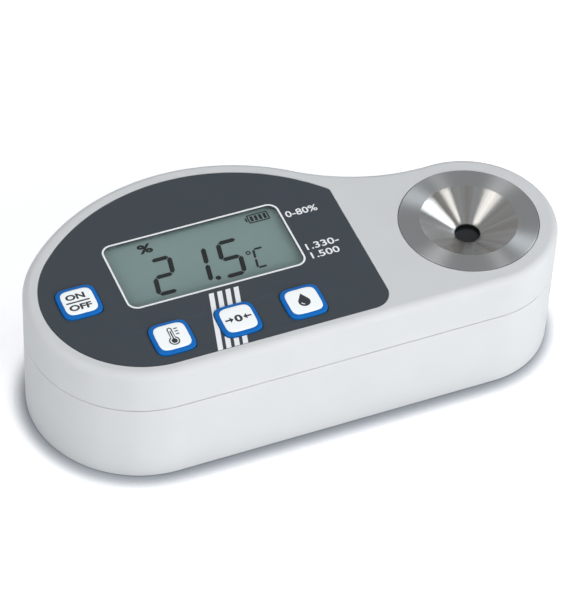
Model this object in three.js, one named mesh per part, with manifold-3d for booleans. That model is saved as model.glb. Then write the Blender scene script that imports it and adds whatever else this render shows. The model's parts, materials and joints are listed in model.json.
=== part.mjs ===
// Digital hand-and-bench refractometer: a sealed two-shell casing with a display, four keys
// and a steel sample well whose cone leads a drop of liquid down to a prism.
// Units are millimetres, +Z is up. The origin lies on the bench under the middle of the casing,
// +X runs along the casing towards the sample well and -Y faces the user.

import * as THREE from 'three';
import { mergeVertices } from 'three/addons/utils/BufferGeometryUtils.js';
import Module from 'manifold-3d';

const wasm = await Module();
wasm.setup();

// Clearances
const SEAT_GAP = 0.05;
const FIT_GAP = 0.15;
const LOOSE_GAP = 0.3;
const CUT = 1;

// Casing: the plan is four arcs and a straight front
const CASE_LENGTH = 121.85;
const CASE_WIDTH = 58.5;
const CASE_HEIGHT = 32.5;
const PARTING_HEIGHT = 21.3;
const PARTING_GAP = 0.2;
const LEFT_EASE = 3.88;
const BELLY_FROM_LEFT = 42.64;
const NECK_RADIUS = 46.4;
const WALL = 2.2;
const TOP_WALL = 1.9;
const FLOOR_WALL = 3;
const TOP_FILLET = 1.8;
const BASE_FILLET = 0.2;
const ARC_STEP = 3;
const LIP_THICKNESS = 1;
const LIP_DEPTH = 1.8;
const SEAL_HEIGHT = 0.8;

// Keypad overlay
const OVERLAY_INSET = 3.47;
const OVERLAY_FRONT_INSET = 2.74;
const OVERLAY_LEFT_EASE = 0.45;
const OVERLAY_THICKNESS = 0.3;
const OVERLAY_RECESS = 0.4;
const OVERLAY_MARGIN = 13.5;
const OVERLAY_CORNER = 4.5;
const OVERLAY_TIP = 1;

// Display
const WINDOW_LENGTH = 40.8;
const WINDOW_CORNER = 2;
const WINDOW_FROM_LEFT = 21.95;
const WINDOW_FROM_FRONT = 20.7;
const WINDOW_FROM_BACK = 18.6;
const PANE_THICKNESS = 0.8;
const PANE_LAP = 1.8;
const GLASS_LAP = 0.8;
const GLASS_THICKNESS = 1.1;
const GLASS_LEDGE = 1.8;
const GLASS_CLEARANCE = 0.15;
const FRAME_WALL = 1.3;
const ZEBRA_HEIGHT = 2.8;
const ZEBRA_WIDTH = 1.4;

// Keys and their switches
const KEY_SIZE = 9.1;
const KEY_TOP_SIZE = 7.15;
const KEY_RISE = 0.6;
const KEY_FLANGE = 0.6;
const KEY_FLANGE_THICKNESS = 0.5;
const KEY_PITCH = 15.25;
const KEY_ROW_FROM_FRONT = 9.65;
const POWER_KEY_RISE = 0.93;
const KEY_TRAVEL = 0.4;
const SWITCH_SIZE = 6;
const PLUNGER_RADIUS = 1.6;
const PLUNGER_SPARE = 0.25;
const PLUNGER_DEPTH = 1;

// Main board
const BOARD_INSET = 3.4;
const BOARD_THICKNESS = 1.6;
const BOARD_TO_WELL = 21.4;
const CHIP_SIZE = 10;
const CHIP_HEIGHT = 1.4;

// Sample well
const WELL_RADIUS = 15.75;
const WELL_RIM = 4.35;
const WELL_PROUD = 0.2;
const WELL_FLANGE = 1.4;
const WELL_EDGE = 0.2;
const CONE_RADIUS = 11;
const CONE_DEPTH = 4.2;
const THROAT_RADIUS = 2.9;
const THROAT_LENGTH = 0.4;
const BARREL_RADIUS = 10.5;
const BARREL_DEPTH = 6.2;
const POCKET_RADIUS = 6.9;
const PAD_THICKNESS = 1.8;
const GASKET_CORD = 0.8;
const GASKET_INSET = 2.2;

// Prism and optics block
const PRISM_SEAL_CORD = 0.5;
const PRISM_TOP = 10.4;
const PRISM_BOTTOM = 2.4;
const PRISM_HEIGHT = 6.6;
const PRISM_WIDTH = 8;
const DECK_INSET = 0.2;
const DECK_THICKNESS = 2;
const BLOCK_HEIGHT = 14.4;
const BLOCK_WIDTH = 14;
const BLOCK_RIGHT = 9;
const BLOCK_LEFT = 17;
const LAMP_RADIUS = 2;
const LAMP_LENGTH = 4.6;
const LAMP_LENS_AT = 2;
const LAMP_AT = 4;
const LENS_THICKNESS = 1.2;
const IMAGE_LENS_RADIUS = 2.2;
const IMAGE_LENS_AT = 3.5;
const SENSOR_AT = 11.3;
const SENSOR_SIZE = 3.4;
const SENSOR_THICKNESS = 1;
const SENSOR_BOARD_LENGTH = 11;
const SENSOR_BOARD_WIDTH = 13;
const SENSOR_BOARD_THICKNESS = 1.2;
const THERMISTOR_RADIUS = 1.1;
const THERMISTOR_LENGTH = 4;
const THERMISTOR_RING = 8.6;
const RIBBON_WIDTH = 7;
const RIBBON_THICKNESS = 0.3;
const CONNECTOR_LENGTH = 4;
const CONNECTOR_HEIGHT = 1.6;

// Battery, its bay and its cover
const CELL_LENGTH = 44.5;
const CELL_RADIUS = 5.25;
const NUB_RADIUS = 1.9;
const NUB_LENGTH = 0.8;
const BAY_FROM_LEFT = 16.85;
const BAY_FROM_FRONT = 24;
const BAY_WALL = 1.5;
const CONTACT_THICKNESS = 0.5;
const CONTACT_WIDTH = 6;
const CONTACT_FINGER = 3;
const SPRING_LENGTH = 4;
const SPRING_RADIUS = 3.2;
const SPRING_TIP_RADIUS = 2;
const SPRING_WIRE = 0.5;
const SPRING_TURNS = 4;
const COVER_THICKNESS = 1.5;
const COVER_RECESS = 0.2;
const COVER_LEDGE = 3;
const COVER_CORNER = 3;
const COVER_SEAL = 0.5;
const COVER_SEAL_WIDTH = 1.2;
const COIN_BOSS_RADIUS = 4;
const COIN_BOSS_HEIGHT = 9;
const COIN_HEAD_RADIUS = 3.4;
const COIN_HEAD_HEIGHT = 1;
const COIN_SHANK_RADIUS = 1.6;
const COIN_SHANK_LENGTH = 6;
const COIN_SLOT = 1;

// Screws and the bosses that take them
const CASE_BOSS_RADIUS = 3.3;
const CASE_BOSS_REACH = 5;
const CASE_BOSS_FROM_WALL = 0.4;
const COLUMN_RADIUS = 4.1;
const CASE_SCREW_SINK = 7;
const CASE_SCREW_HEAD = 2.3;
const CASE_SCREW_HEAD_HEIGHT = 1.6;
const CASE_SCREW_SHANK = 1.25;
const CASE_SCREW_LENGTH = 13;
const SMALL_BOSS_RADIUS = 2.2;
const SMALL_SCREW_HEAD = 1.9;
const SMALL_SCREW_HEAD_HEIGHT = 1.3;
const SMALL_SCREW_SHANK = 0.9;
const SMALL_SCREW_LENGTH = 4;
const DRIVE_SLOT = 0.5;

// Facets of round pieces
const COARSE_SIDES = 16;
const ROUND_SIDES = 24;
const FINE_SIDES = 56;
const FILLET_STEPS = 4;
const CORD_SIDES = 6;
const KEY_SIDES = 32;
const KEY_SQUARENESS = 4.6;

// Places in plan
const noseRadius = WELL_RADIUS + WELL_RIM;
const wellX = CASE_LENGTH / 2 - noseRadius;
const wellY = noseRadius - CASE_WIDTH / 2;
const windowWidth = CASE_WIDTH - WINDOW_FROM_FRONT - WINDOW_FROM_BACK;
const windowX = WINDOW_FROM_LEFT + WINDOW_LENGTH / 2 - CASE_LENGTH / 2;
const windowY = WINDOW_FROM_FRONT + windowWidth / 2 - CASE_WIDTH / 2;

// The left arc touches the left end and the front; the belly's arc touches it and the back
const leftRadius = CASE_WIDTH / 2 - LEFT_EASE;
const leftX = leftRadius - CASE_LENGTH / 2;
const leftY = leftRadius - CASE_WIDTH / 2;
const bellyX = BELLY_FROM_LEFT - CASE_LENGTH / 2;
const bellyRadius = CASE_WIDTH / 2 + (bellyX - leftX) ** 2 / (4 * LEFT_EASE);
const bellyY = CASE_WIDTH / 2 - bellyRadius;

const gasketRadius = WELL_RADIUS - GASKET_INSET;
const deckRadius = WELL_RADIUS - DECK_INSET;

// Heights, from the top of the casing down to the bench
const overlayFloor = CASE_HEIGHT - OVERLAY_RECESS;
const overlayBottom = overlayFloor + SEAT_GAP;
const overlayTop = overlayBottom + OVERLAY_THICKNESS;
const paneTop = overlayFloor - SEAT_GAP;
const paneBottom = paneTop - PANE_THICKNESS;
const ceiling = CASE_HEIGHT - TOP_WALL;
const lcdTop = paneBottom - GLASS_CLEARANCE;
const lcdStep = lcdTop - GLASS_THICKNESS;
const lcdBottom = lcdStep - GLASS_THICKNESS;
const boardTop = lcdBottom - ZEBRA_HEIGHT - 2 * SEAT_GAP;
const boardBottom = boardTop - BOARD_THICKNESS;
const keyFlangeTop = ceiling - SEAT_GAP;
const keyBottom = keyFlangeTop - KEY_FLANGE_THICKNESS;
const plungerTop = keyBottom - SEAT_GAP;
const switchTop = plungerTop - KEY_TRAVEL - PLUNGER_SPARE;
const wellTop = CASE_HEIGHT + WELL_PROUD;
const flangeBottom = wellTop - WELL_FLANGE;
const flangeFloor = flangeBottom - SEAT_GAP;
const gasketFloor = flangeFloor - GASKET_CORD - SEAT_GAP;
const padBottom = gasketFloor - PAD_THICKNESS;
const throatTop = wellTop - CONE_DEPTH;
const pocketTop = throatTop - THROAT_LENGTH;
const barrelBottom = wellTop - BARREL_DEPTH;
const prismTop = pocketTop - PRISM_SEAL_CORD - 2 * SEAT_GAP;
const prismBottom = prismTop - PRISM_HEIGHT;
const deckTop = barrelBottom - SEAT_GAP;
const deckBottom = deckTop - DECK_THICKNESS;
const blockBottom = deckBottom - BLOCK_HEIGHT + DECK_THICKNESS;
const lipBottom = PARTING_HEIGHT - LIP_DEPTH;
const sealTop = lipBottom - SEAT_GAP;
const sealBottom = sealTop - SEAL_HEIGHT;
const sealStep = sealBottom - SEAT_GAP;
const bossBottom = PARTING_HEIGHT - CASE_BOSS_REACH;
const columnTop = bossBottom - SEAT_GAP;
const coverTop = COVER_RECESS + COVER_THICKNESS;
const coverSeat = coverTop + SEAT_GAP + COVER_SEAL + SEAT_GAP;
const cellCentre = coverSeat + LOOSE_GAP + CELL_RADIUS;
const bayTop = cellCentre + CELL_RADIUS + LOOSE_GAP;
const bayRoof = bayTop + BAY_WALL;

// A point in plan on a circle
function onCircle(centreX, centreY, radius, angle) {
  return new THREE.Vector2(centreX + radius * Math.cos(angle), centreY + radius * Math.sin(angle));
}

// Points along an arc, both ends included
function arcPoints(centreX, centreY, radius, from, to, steps) {
  const points = [];
  for (let step = 0; step <= steps; step += 1) {
    points.push(onCircle(centreX, centreY, radius, from + (to - from) * step / steps));
  }
  return points;
}

function circlePoints(centreX, centreY, radius, sides) {
  const points = arcPoints(centreX, centreY, radius, 0, 2 * Math.PI, sides);
  points.pop();
  return points;
}

function roundedRectangle(centreX, centreY, length, width, corner, steps = FILLET_STEPS) {
  const points = [];
  for (let quarter = 0; quarter < 4; quarter += 1) {
    const from = quarter * Math.PI / 2;
    const signX = quarter === 0 || quarter === 3 ? 1 : -1;
    const signY = quarter < 2 ? 1 : -1;
    const x = centreX + signX * (length / 2 - corner);
    const y = centreY + signY * (width / 2 - corner);
    points.push(...arcPoints(x, y, corner, from, from + Math.PI / 2, steps));
  }
  return points;
}

function rectangle(centreX, centreY, length, width) {
  const corners = [[-1, -1], [1, -1], [1, 1], [-1, 1]];
  return corners.map(([x, y]) => new THREE.Vector2(centreX + x * length / 2, centreY + y * width / 2));
}

// A square with bulging sides and round corners, the outline of every key
function squircle(centreX, centreY, size) {
  const points = [];
  const power = 2 / KEY_SQUARENESS;
  for (let side = 0; side < KEY_SIDES; side += 1) {
    const angle = 2 * Math.PI * side / KEY_SIDES;
    const x = Math.sign(Math.cos(angle)) * Math.abs(Math.cos(angle)) ** power;
    const y = Math.sign(Math.sin(angle)) * Math.abs(Math.sin(angle)) ** power;
    points.push(new THREE.Vector2(centreX + x * size / 2, centreY + y * size / 2));
  }
  return points;
}

function arcSteps(radius, sweep) {
  return Math.ceil(radius * Math.abs(sweep) / ARC_STEP);
}

// The belly's arc and the left end's, from a first angle on the belly round to the front.
// The left end's arc has the given radius and touches the belly's arc and the straight front.
function bellyAndLeft(inset, frontInset, radius, from) {
  const y = frontInset + radius - CASE_WIDTH / 2;
  const x = bellyX - Math.sqrt((bellyRadius - inset - radius) ** 2 - (y - bellyY) ** 2);
  const touch = Math.atan2(y - bellyY, x - bellyX);
  const bellySteps = arcSteps(bellyRadius, touch - from);
  const leftSteps = arcSteps(leftRadius, 3 * Math.PI / 2 - touch);
  const belly = arcPoints(bellyX, bellyY, bellyRadius - inset, from, touch, bellySteps);
  const end = arcPoints(x, y, radius, touch, 3 * Math.PI / 2, leftSteps);
  return [...belly, ...end.slice(1)];
}

// The casing's plan outline, drawn in by an inset: nose, neck, belly, left end
function casePlan(inset) {
  const noseToBelly = Math.hypot(bellyX - wellX, bellyY - wellY);
  const noseToNeck = noseRadius + NECK_RADIUS;
  const bellyToNeck = bellyRadius + NECK_RADIUS;
  const along = (noseToNeck ** 2 - bellyToNeck ** 2 + noseToBelly ** 2) / (2 * noseToBelly);
  const across = Math.sqrt(noseToNeck ** 2 - along ** 2);
  const unitX = (bellyX - wellX) / noseToBelly;
  const unitY = (bellyY - wellY) / noseToBelly;
  const neckX = wellX + along * unitX + across * unitY;
  const neckY = wellY + along * unitY - across * unitX;
  const atNose = Math.atan2(neckY - wellY, neckX - wellX);
  const atBelly = Math.atan2(neckY - bellyY, neckX - bellyX);
  const noseSteps = arcSteps(noseRadius, Math.PI / 2);
  const neckSteps = arcSteps(NECK_RADIUS, atNose - atBelly);
  const noseFront = arcPoints(wellX, wellY, noseRadius - inset, -Math.PI / 2, 0, noseSteps);
  const noseBack = arcPoints(wellX, wellY, noseRadius - inset, 0, atNose, noseSteps);
  const neck = arcPoints(neckX, neckY, NECK_RADIUS + inset, atNose - Math.PI, atBelly - Math.PI, neckSteps);
  return [
    ...noseFront,
    ...noseBack.slice(1),
    ...neck.slice(1),
    ...bellyAndLeft(inset, inset, leftRadius - inset, atBelly).slice(1),
  ];
}

// The overlay's outline: straight towards the well, round at its front corner, tight at the back
function overlayPlan(grow) {
  const inset = OVERLAY_INSET - grow;
  const end = windowX + WINDOW_LENGTH / 2 + OVERLAY_MARGIN + grow;
  const frontInset = OVERLAY_FRONT_INSET - grow;
  const front = frontInset - CASE_WIDTH / 2;
  const leftEnd = leftRadius - inset + OVERLAY_LEFT_EASE;
  const corner = OVERLAY_CORNER + grow;
  const tip = OVERLAY_TIP + grow;
  const tipX = end - tip;
  const tipY = bellyY + Math.sqrt((bellyRadius - inset - tip) ** 2 - (tipX - bellyX) ** 2);
  const tipTouch = Math.atan2(tipY - bellyY, tipX - bellyX);
  return [
    ...arcPoints(end - corner, front + corner, corner, -Math.PI / 2, 0, FILLET_STEPS),
    ...arcPoints(tipX, tipY, tip, 0, tipTouch, FILLET_STEPS),
    ...bellyAndLeft(inset, frontInset, leftEnd, tipTouch).slice(1),
  ];
}

// A closed body from outlines of equal point count, listed from the bottom up
function ringStack(rings) {
  const count = rings[0].points.length;
  const positions = [];
  const index = [];
  for (const ring of rings) {
    for (const point of ring.points) {
      positions.push(point.x, point.y, ring.z);
    }
  }
  for (let level = 0; level < rings.length - 1; level += 1) {
    for (let side = 0; side < count; side += 1) {
      const a = level * count + side;
      const b = level * count + (side + 1) % count;
      index.push(a, b, b + count, a, b + count, a + count);
    }
  }
  const last = (rings.length - 1) * count;
  for (const [a, b, c] of THREE.ShapeUtils.triangulateShape(rings[0].points, [])) {
    index.push(a, c, b);
  }
  for (const [a, b, c] of THREE.ShapeUtils.triangulateShape(rings.at(-1).points, [])) {
    index.push(last + a, last + b, last + c);
  }
  const geometry = new THREE.BufferGeometry();
  geometry.setAttribute('position', new THREE.Float32BufferAttribute(positions, 3));
  geometry.setIndex(index);
  return geometry;
}

// A geometry as a closed solid: shared corners joined, empty triangles left out
function solid(geometry) {
  const bare = geometry.clone();
  bare.deleteAttribute('normal');
  bare.deleteAttribute('uv');
  const merged = mergeVertices(bare);
  const corners = merged.index.array;
  const triangles = [];
  for (let i = 0; i < corners.length; i += 3) {
    const [a, b, c] = corners.slice(i, i + 3);
    if (a !== b && b !== c && c !== a) {
      triangles.push(a, b, c);
    }
  }
  return new wasm.Manifold(new wasm.Mesh({
    numProp: 3,
    vertProperties: new Float32Array(merged.attributes.position.array),
    triVerts: new Uint32Array(triangles),
  }));
}

function prismOf(points, bottom, top) {
  return solid(ringStack([{ points, z: bottom }, { points, z: top }]));
}

function cylinder(x, y, radius, bottom, top, sides = COARSE_SIDES) {
  return prismOf(circlePoints(x, y, radius, sides), bottom, top);
}

function block(x, y, length, width, bottom, top) {
  return prismOf(rectangle(x, y, length, width), bottom, top);
}

// A turned body about a vertical axis; the profile lists radius and height round the section
function turned(profile, x, y, sides) {
  const points = profile.map(([radius, height]) => new THREE.Vector2(radius, height));
  points.push(points[0].clone());
  const geometry = new THREE.LatheGeometry(points, sides);
  geometry.rotateX(Math.PI / 2);
  geometry.translate(x, y, 0);
  return solid(geometry);
}

function ring(x, y, radius, cord, bottom, sides) {
  const profile = circlePoints(radius, bottom + cord / 2, cord / 2, CORD_SIDES);
  return turned(profile.map((point) => [point.x, point.y]), x, y, sides);
}

function placed(body, matrix) {
  return body.transform(matrix.elements);
}

function all(bodies) {
  return bodies.reduce((sum, body) => sum.add(body));
}

const part = new THREE.Group();

// Finishes
const finishes = {
  casing: new THREE.MeshStandardMaterial({ color: 0xd4d8da, roughness: 0.55, metalness: 0 }),
  overlay: new THREE.MeshStandardMaterial({ color: 0x444a50, roughness: 0.5, metalness: 0 }),
  key: new THREE.MeshStandardMaterial({ color: 0xf4f4f6, roughness: 0.45, metalness: 0 }),
  clear: new THREE.MeshStandardMaterial({ color: 0xe6ecec, roughness: 0.05, metalness: 0 }),
  lcd: new THREE.MeshStandardMaterial({ color: 0x7a8f8b, roughness: 0.3, metalness: 0 }),
  black: new THREE.MeshStandardMaterial({ color: 0x1c1d1f, roughness: 0.6, metalness: 0 }),
  rubber: new THREE.MeshStandardMaterial({ color: 0x2b2c2e, roughness: 0.85, metalness: 0 }),
  board: new THREE.MeshStandardMaterial({ color: 0x1f5a36, roughness: 0.5, metalness: 0 }),
  steel: new THREE.MeshStandardMaterial({ color: 0xb6babd, roughness: 0.3, metalness: 1 }),
  brass: new THREE.MeshStandardMaterial({ color: 0xc7a75a, roughness: 0.35, metalness: 1 }),
  cell: new THREE.MeshStandardMaterial({ color: 0x3c4b57, roughness: 0.4, metalness: 0.3 }),
  lamp: new THREE.MeshStandardMaterial({ color: 0xe8c264, roughness: 0.2, metalness: 0 }),
  ribbon: new THREE.MeshStandardMaterial({ color: 0xb5763a, roughness: 0.5, metalness: 0 }),
};

function addPiece(name, body, finish) {
  const data = body.getMesh();
  const geometry = new THREE.BufferGeometry();
  geometry.setAttribute('position', new THREE.BufferAttribute(new Float32Array(data.vertProperties), 3));
  geometry.setIndex(new THREE.BufferAttribute(new Uint32Array(data.triVerts), 1));
  geometry.computeVertexNormals();
  const mesh = new THREE.Mesh(geometry, finish);
  mesh.name = name;
  part.add(mesh);
}

// Places of the case screws: two round the left end, two before the well, two in the nose
const bossInset = WALL + CASE_BOSS_FROM_WALL + CASE_BOSS_RADIUS;
const LEFT_SCREW_ANGLES = [135, 232];
const BELLY_SCREW_ANGLE = 47;
const NOSE_SCREW_ANGLES = [55, -55];
const OPTICS_SCREW_ANGLES = [0, 110, 250];
const radians = THREE.MathUtils.degToRad;
const bellyScrew = onCircle(bellyX, bellyY, bellyRadius - bossInset, radians(BELLY_SCREW_ANGLE));
const displayScrews = [
  ...LEFT_SCREW_ANGLES.map((angle) => onCircle(leftX, leftY, leftRadius - bossInset, radians(angle))),
  bellyScrew,
  new THREE.Vector2(bellyScrew.x, bossInset + CASE_BOSS_RADIUS / 2 - CASE_WIDTH / 2),
];
const noseScrews = NOSE_SCREW_ANGLES.map(
  (angle) => onCircle(wellX, wellY, noseRadius - bossInset, radians(angle)),
);
const caseScrews = [...displayScrews, ...noseScrews];

// Places of the small screws: four under the main board, three under the optics block
const lcdLength = WINDOW_LENGTH + 2 * GLASS_LAP;
const lcdWidth = windowWidth + 2 * GLASS_LAP;
const lcdBackWidth = lcdWidth + 2 * GLASS_LEDGE;
const frameLength = lcdLength + 2 * (FIT_GAP + FRAME_WALL);
const frameWidth = lcdBackWidth + 2 * (FIT_GAP + FRAME_WALL);
const boardScrewReachX = frameLength / 2 + LOOSE_GAP + SMALL_BOSS_RADIUS;
const boardScrewReachY = frameWidth / 2 + LOOSE_GAP + SMALL_BOSS_RADIUS;
const boardScrews = [
  new THREE.Vector2(windowX - boardScrewReachX, windowY - frameWidth / 2),
  new THREE.Vector2(windowX + boardScrewReachX, windowY - frameWidth / 2),
  new THREE.Vector2(windowX - boardScrewReachX / 2, windowY + boardScrewReachY),
  new THREE.Vector2(windowX + boardScrewReachX / 2, windowY + boardScrewReachY),
];
const opticsScrews = OPTICS_SCREW_ANGLES.map(
  (angle) => onCircle(wellX, wellY, noseRadius - bossInset, radians(angle)),
);

// Keys by name, with their places
const keyRowY = KEY_ROW_FROM_FRONT - CASE_WIDTH / 2;
const keys = [
  { name: 'on_off', x: windowX - 2 * KEY_PITCH, y: leftY + POWER_KEY_RISE },
  { name: 'temperature', x: windowX - KEY_PITCH, y: keyRowY },
  { name: 'calibrate', x: windowX, y: keyRowY },
  { name: 'measure', x: windowX + KEY_PITCH, y: keyRowY },
];

// Upper shell: rounded top edge, hanging bosses and a locating lip inside the wall
function upperHousing() {
  const rings = [{ points: casePlan(0), z: PARTING_HEIGHT + PARTING_GAP / 2 }];
  for (let step = 0; step <= FILLET_STEPS; step += 1) {
    const angle = step / FILLET_STEPS * Math.PI / 2;
    rings.push({
      points: casePlan(TOP_FILLET * (1 - Math.cos(angle))),
      z: CASE_HEIGHT - TOP_FILLET * (1 - Math.sin(angle)),
    });
  }
  let shell = solid(ringStack(rings));
  shell = shell.subtract(prismOf(casePlan(WALL), PARTING_HEIGHT - CUT, ceiling));
  const lipOuter = prismOf(casePlan(WALL - LIP_THICKNESS), lipBottom, PARTING_HEIGHT + CUT);
  const lipInner = prismOf(casePlan(WALL), lipBottom - CUT, PARTING_HEIGHT + 2 * CUT);
  shell = shell.add(lipOuter.subtract(lipInner));

  const bossTop = ceiling + TOP_WALL / 4;
  const bosses = [
    ...displayScrews.map((at) => cylinder(at.x, at.y, CASE_BOSS_RADIUS, bossBottom, bossTop)),
    ...noseScrews.map((at) => cylinder(at.x, at.y, CASE_BOSS_RADIUS, bossBottom, bossTop)),
    ...boardScrews.map((at) => cylinder(at.x, at.y, SMALL_BOSS_RADIUS, boardTop + SEAT_GAP, bossTop)),
    ...opticsScrews.map((at) => cylinder(at.x, at.y, SMALL_BOSS_RADIUS, deckTop + SEAT_GAP, bossTop)),
  ];
  const pad = cylinder(wellX, wellY, noseRadius - WALL / 2, padBottom, bossTop, FINE_SIDES);
  const padInCase = pad.intersect(prismOf(casePlan(WALL / 2), padBottom - CUT, bossTop + CUT));
  shell = all([shell, padInCase, ...bosses]);

  const paneLength = WINDOW_LENGTH + 2 * (PANE_LAP + FIT_GAP);
  const paneWidth = windowWidth + 2 * (PANE_LAP + FIT_GAP);
  const above = CASE_HEIGHT + CUT;
  const cuts = [
    prismOf(overlayPlan(FIT_GAP), overlayFloor, above),
    prismOf(
      roundedRectangle(windowX, windowY, paneLength, paneWidth, WINDOW_CORNER),
      paneBottom - SEAT_GAP,
      above,
    ),
    block(windowX, windowY, lcdLength + 2 * FIT_GAP, lcdWidth + 2 * FIT_GAP, ceiling - CUT, above),
    ...keys.map((key) => prismOf(squircle(key.x, key.y, KEY_SIZE + 2 * FIT_GAP), ceiling - CUT, above)),
    cylinder(wellX, wellY, WELL_RADIUS + FIT_GAP, flangeFloor, above, FINE_SIDES),
    cylinder(wellX, wellY, BARREL_RADIUS + FIT_GAP, bossBottom - CUT, above, FINE_SIDES),
    turned(
      [
        [gasketRadius - GASKET_CORD / 2 - FIT_GAP, gasketFloor],
        [gasketRadius + GASKET_CORD / 2 + FIT_GAP, gasketFloor],
        [gasketRadius + GASKET_CORD / 2 + FIT_GAP, above],
        [gasketRadius - GASKET_CORD / 2 - FIT_GAP, above],
      ],
      wellX,
      wellY,
      FINE_SIDES,
    ),
    ...caseScrews.map((at) => cylinder(
      at.x,
      at.y,
      CASE_SCREW_SHANK + FIT_GAP,
      bossBottom - CUT,
      CASE_SCREW_SINK + CASE_SCREW_LENGTH + LOOSE_GAP,
    )),
    ...boardScrews.map((at) => cylinder(
      at.x,
      at.y,
      SMALL_SCREW_SHANK + FIT_GAP,
      boardTop - CUT,
      boardBottom - SEAT_GAP + SMALL_SCREW_LENGTH + LOOSE_GAP,
    )),
    ...opticsScrews.map((at) => cylinder(
      at.x,
      at.y,
      SMALL_SCREW_SHANK + FIT_GAP,
      deckTop - CUT,
      deckBottom - SEAT_GAP + SMALL_SCREW_LENGTH + LOOSE_GAP,
    )),
  ];
  return cuts.reduce((body, cut) => body.subtract(cut), shell);
}

// Battery bay: its inner space, and the cover that closes it from below
const bayLength = CELL_LENGTH + SPRING_LENGTH + 2 * (CONTACT_THICKNESS + FIT_GAP) + 3 * LOOSE_GAP;
const bayWidth = 2 * (CELL_RADIUS + LOOSE_GAP);
const bayLeft = BAY_FROM_LEFT - CASE_LENGTH / 2;
const bayX = bayLeft + bayLength / 2;
const bayY = BAY_FROM_FRONT - CASE_WIDTH / 2;
const coinX = bayLeft + bayLength + BAY_WALL / 2 + COIN_BOSS_RADIUS;
const coverLeft = bayLeft - COVER_LEDGE;
const coverRight = coinX + COIN_BOSS_RADIUS + COVER_LEDGE / 2;
const coverX = (coverLeft + coverRight) / 2;
const coverLength = coverRight - coverLeft;
const coverWidth = bayWidth + 2 * COVER_LEDGE;
const plusContactX = bayLeft + FIT_GAP + CONTACT_THICKNESS / 2;
const minusContactX = bayLeft + bayLength - FIT_GAP - CONTACT_THICKNESS / 2;
const contactSlot = CONTACT_THICKNESS + 2 * FIT_GAP;

// Lower shell: a tray with screw columns and the battery bay, whose mouth is in the floor
function lowerHousing() {
  const rings = [];
  for (let step = 0; step <= FILLET_STEPS / 2; step += 1) {
    const angle = step / FILLET_STEPS * Math.PI;
    rings.push({
      points: casePlan(BASE_FILLET * (1 - Math.sin(angle))),
      z: BASE_FILLET * (1 - Math.cos(angle)),
    });
  }
  rings.push({ points: casePlan(0), z: PARTING_HEIGHT - PARTING_GAP / 2 });
  let tray = solid(ringStack(rings));
  tray = tray.subtract(prismOf(casePlan(WALL), FLOOR_WALL, PARTING_HEIGHT + CUT));
  tray = tray.subtract(prismOf(casePlan(WALL - LIP_THICKNESS - FIT_GAP), sealStep, PARTING_HEIGHT + CUT));

  const rise = FLOOR_WALL / 2;
  tray = all([
    tray,
    ...caseScrews.map((at) => cylinder(at.x, at.y, COLUMN_RADIUS, rise, columnTop)),
    block(bayX, bayY, bayLength + 2 * BAY_WALL, bayWidth + 2 * BAY_WALL, rise, bayRoof),
    cylinder(coinX, bayY, COIN_BOSS_RADIUS, rise, COIN_BOSS_HEIGHT),
  ]);

  const slotHeight = bayRoof + CUT;
  const cuts = [
    prismOf(
      roundedRectangle(
        coverX,
        bayY,
        coverLength + 2 * FIT_GAP,
        coverWidth + 2 * FIT_GAP,
        COVER_CORNER + FIT_GAP,
      ),
      -CUT,
      coverSeat,
    ),
    block(bayX, bayY, bayLength, bayWidth, -CUT, bayTop),
    block(plusContactX, bayY, contactSlot, CONTACT_WIDTH + 2 * FIT_GAP, bayTop - CUT, slotHeight),
    block(minusContactX, bayY, contactSlot, CONTACT_WIDTH + 2 * FIT_GAP, bayTop - CUT, slotHeight),
    cylinder(coinX, bayY, COIN_SHANK_RADIUS + FIT_GAP, -CUT, coverSeat + COIN_SHANK_LENGTH),
    ...caseScrews.map((at) => cylinder(at.x, at.y, CASE_SCREW_HEAD + LOOSE_GAP, -CUT, CASE_SCREW_SINK)),
    ...caseScrews.map((at) => cylinder(at.x, at.y, CASE_SCREW_SHANK + FIT_GAP, -CUT, columnTop + CUT)),
  ];
  return cuts.reduce((body, cut) => body.subtract(cut), tray);
}

// Soft cord between the shells, under the upper shell's lip
function housingSeal() {
  const outer = prismOf(casePlan(WALL - LIP_THICKNESS), sealBottom, sealTop);
  return outer.subtract(prismOf(casePlan(WALL), sealBottom - CUT, sealTop + CUT));
}

function keypadOverlay() {
  const window = roundedRectangle(windowX, windowY, WINDOW_LENGTH, windowWidth, WINDOW_CORNER);
  const below = overlayBottom - CUT;
  const above = overlayTop + CUT;
  return [
    prismOf(window, below, above),
    ...keys.map((key) => prismOf(squircle(key.x, key.y, KEY_SIZE + 2 * FIT_GAP), below, above)),
  ].reduce((sheet, cut) => sheet.subtract(cut), prismOf(overlayPlan(0), overlayBottom, overlayTop));
}

function displayWindow() {
  const outline = roundedRectangle(
    windowX,
    windowY,
    WINDOW_LENGTH + 2 * PANE_LAP,
    windowWidth + 2 * PANE_LAP,
    WINDOW_CORNER - FIT_GAP,
  );
  return prismOf(outline, paneBottom, paneTop);
}

// Display cell: two glass plates, the lower one wider so that its contact ledges stay free
function lcdCell() {
  const front = block(windowX, windowY, lcdLength, lcdWidth, lcdBottom, lcdTop);
  return front.add(block(windowX, windowY, lcdLength, lcdBackWidth, lcdBottom, lcdStep));
}

function displayFrame() {
  const outer = block(windowX, windowY, frameLength, frameWidth, boardTop + SEAT_GAP, ceiling - SEAT_GAP);
  return outer.subtract(block(
    windowX,
    windowY,
    lcdLength + 2 * FIT_GAP,
    lcdBackWidth + 2 * FIT_GAP,
    boardTop - CUT,
    ceiling + CUT,
  ));
}

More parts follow.
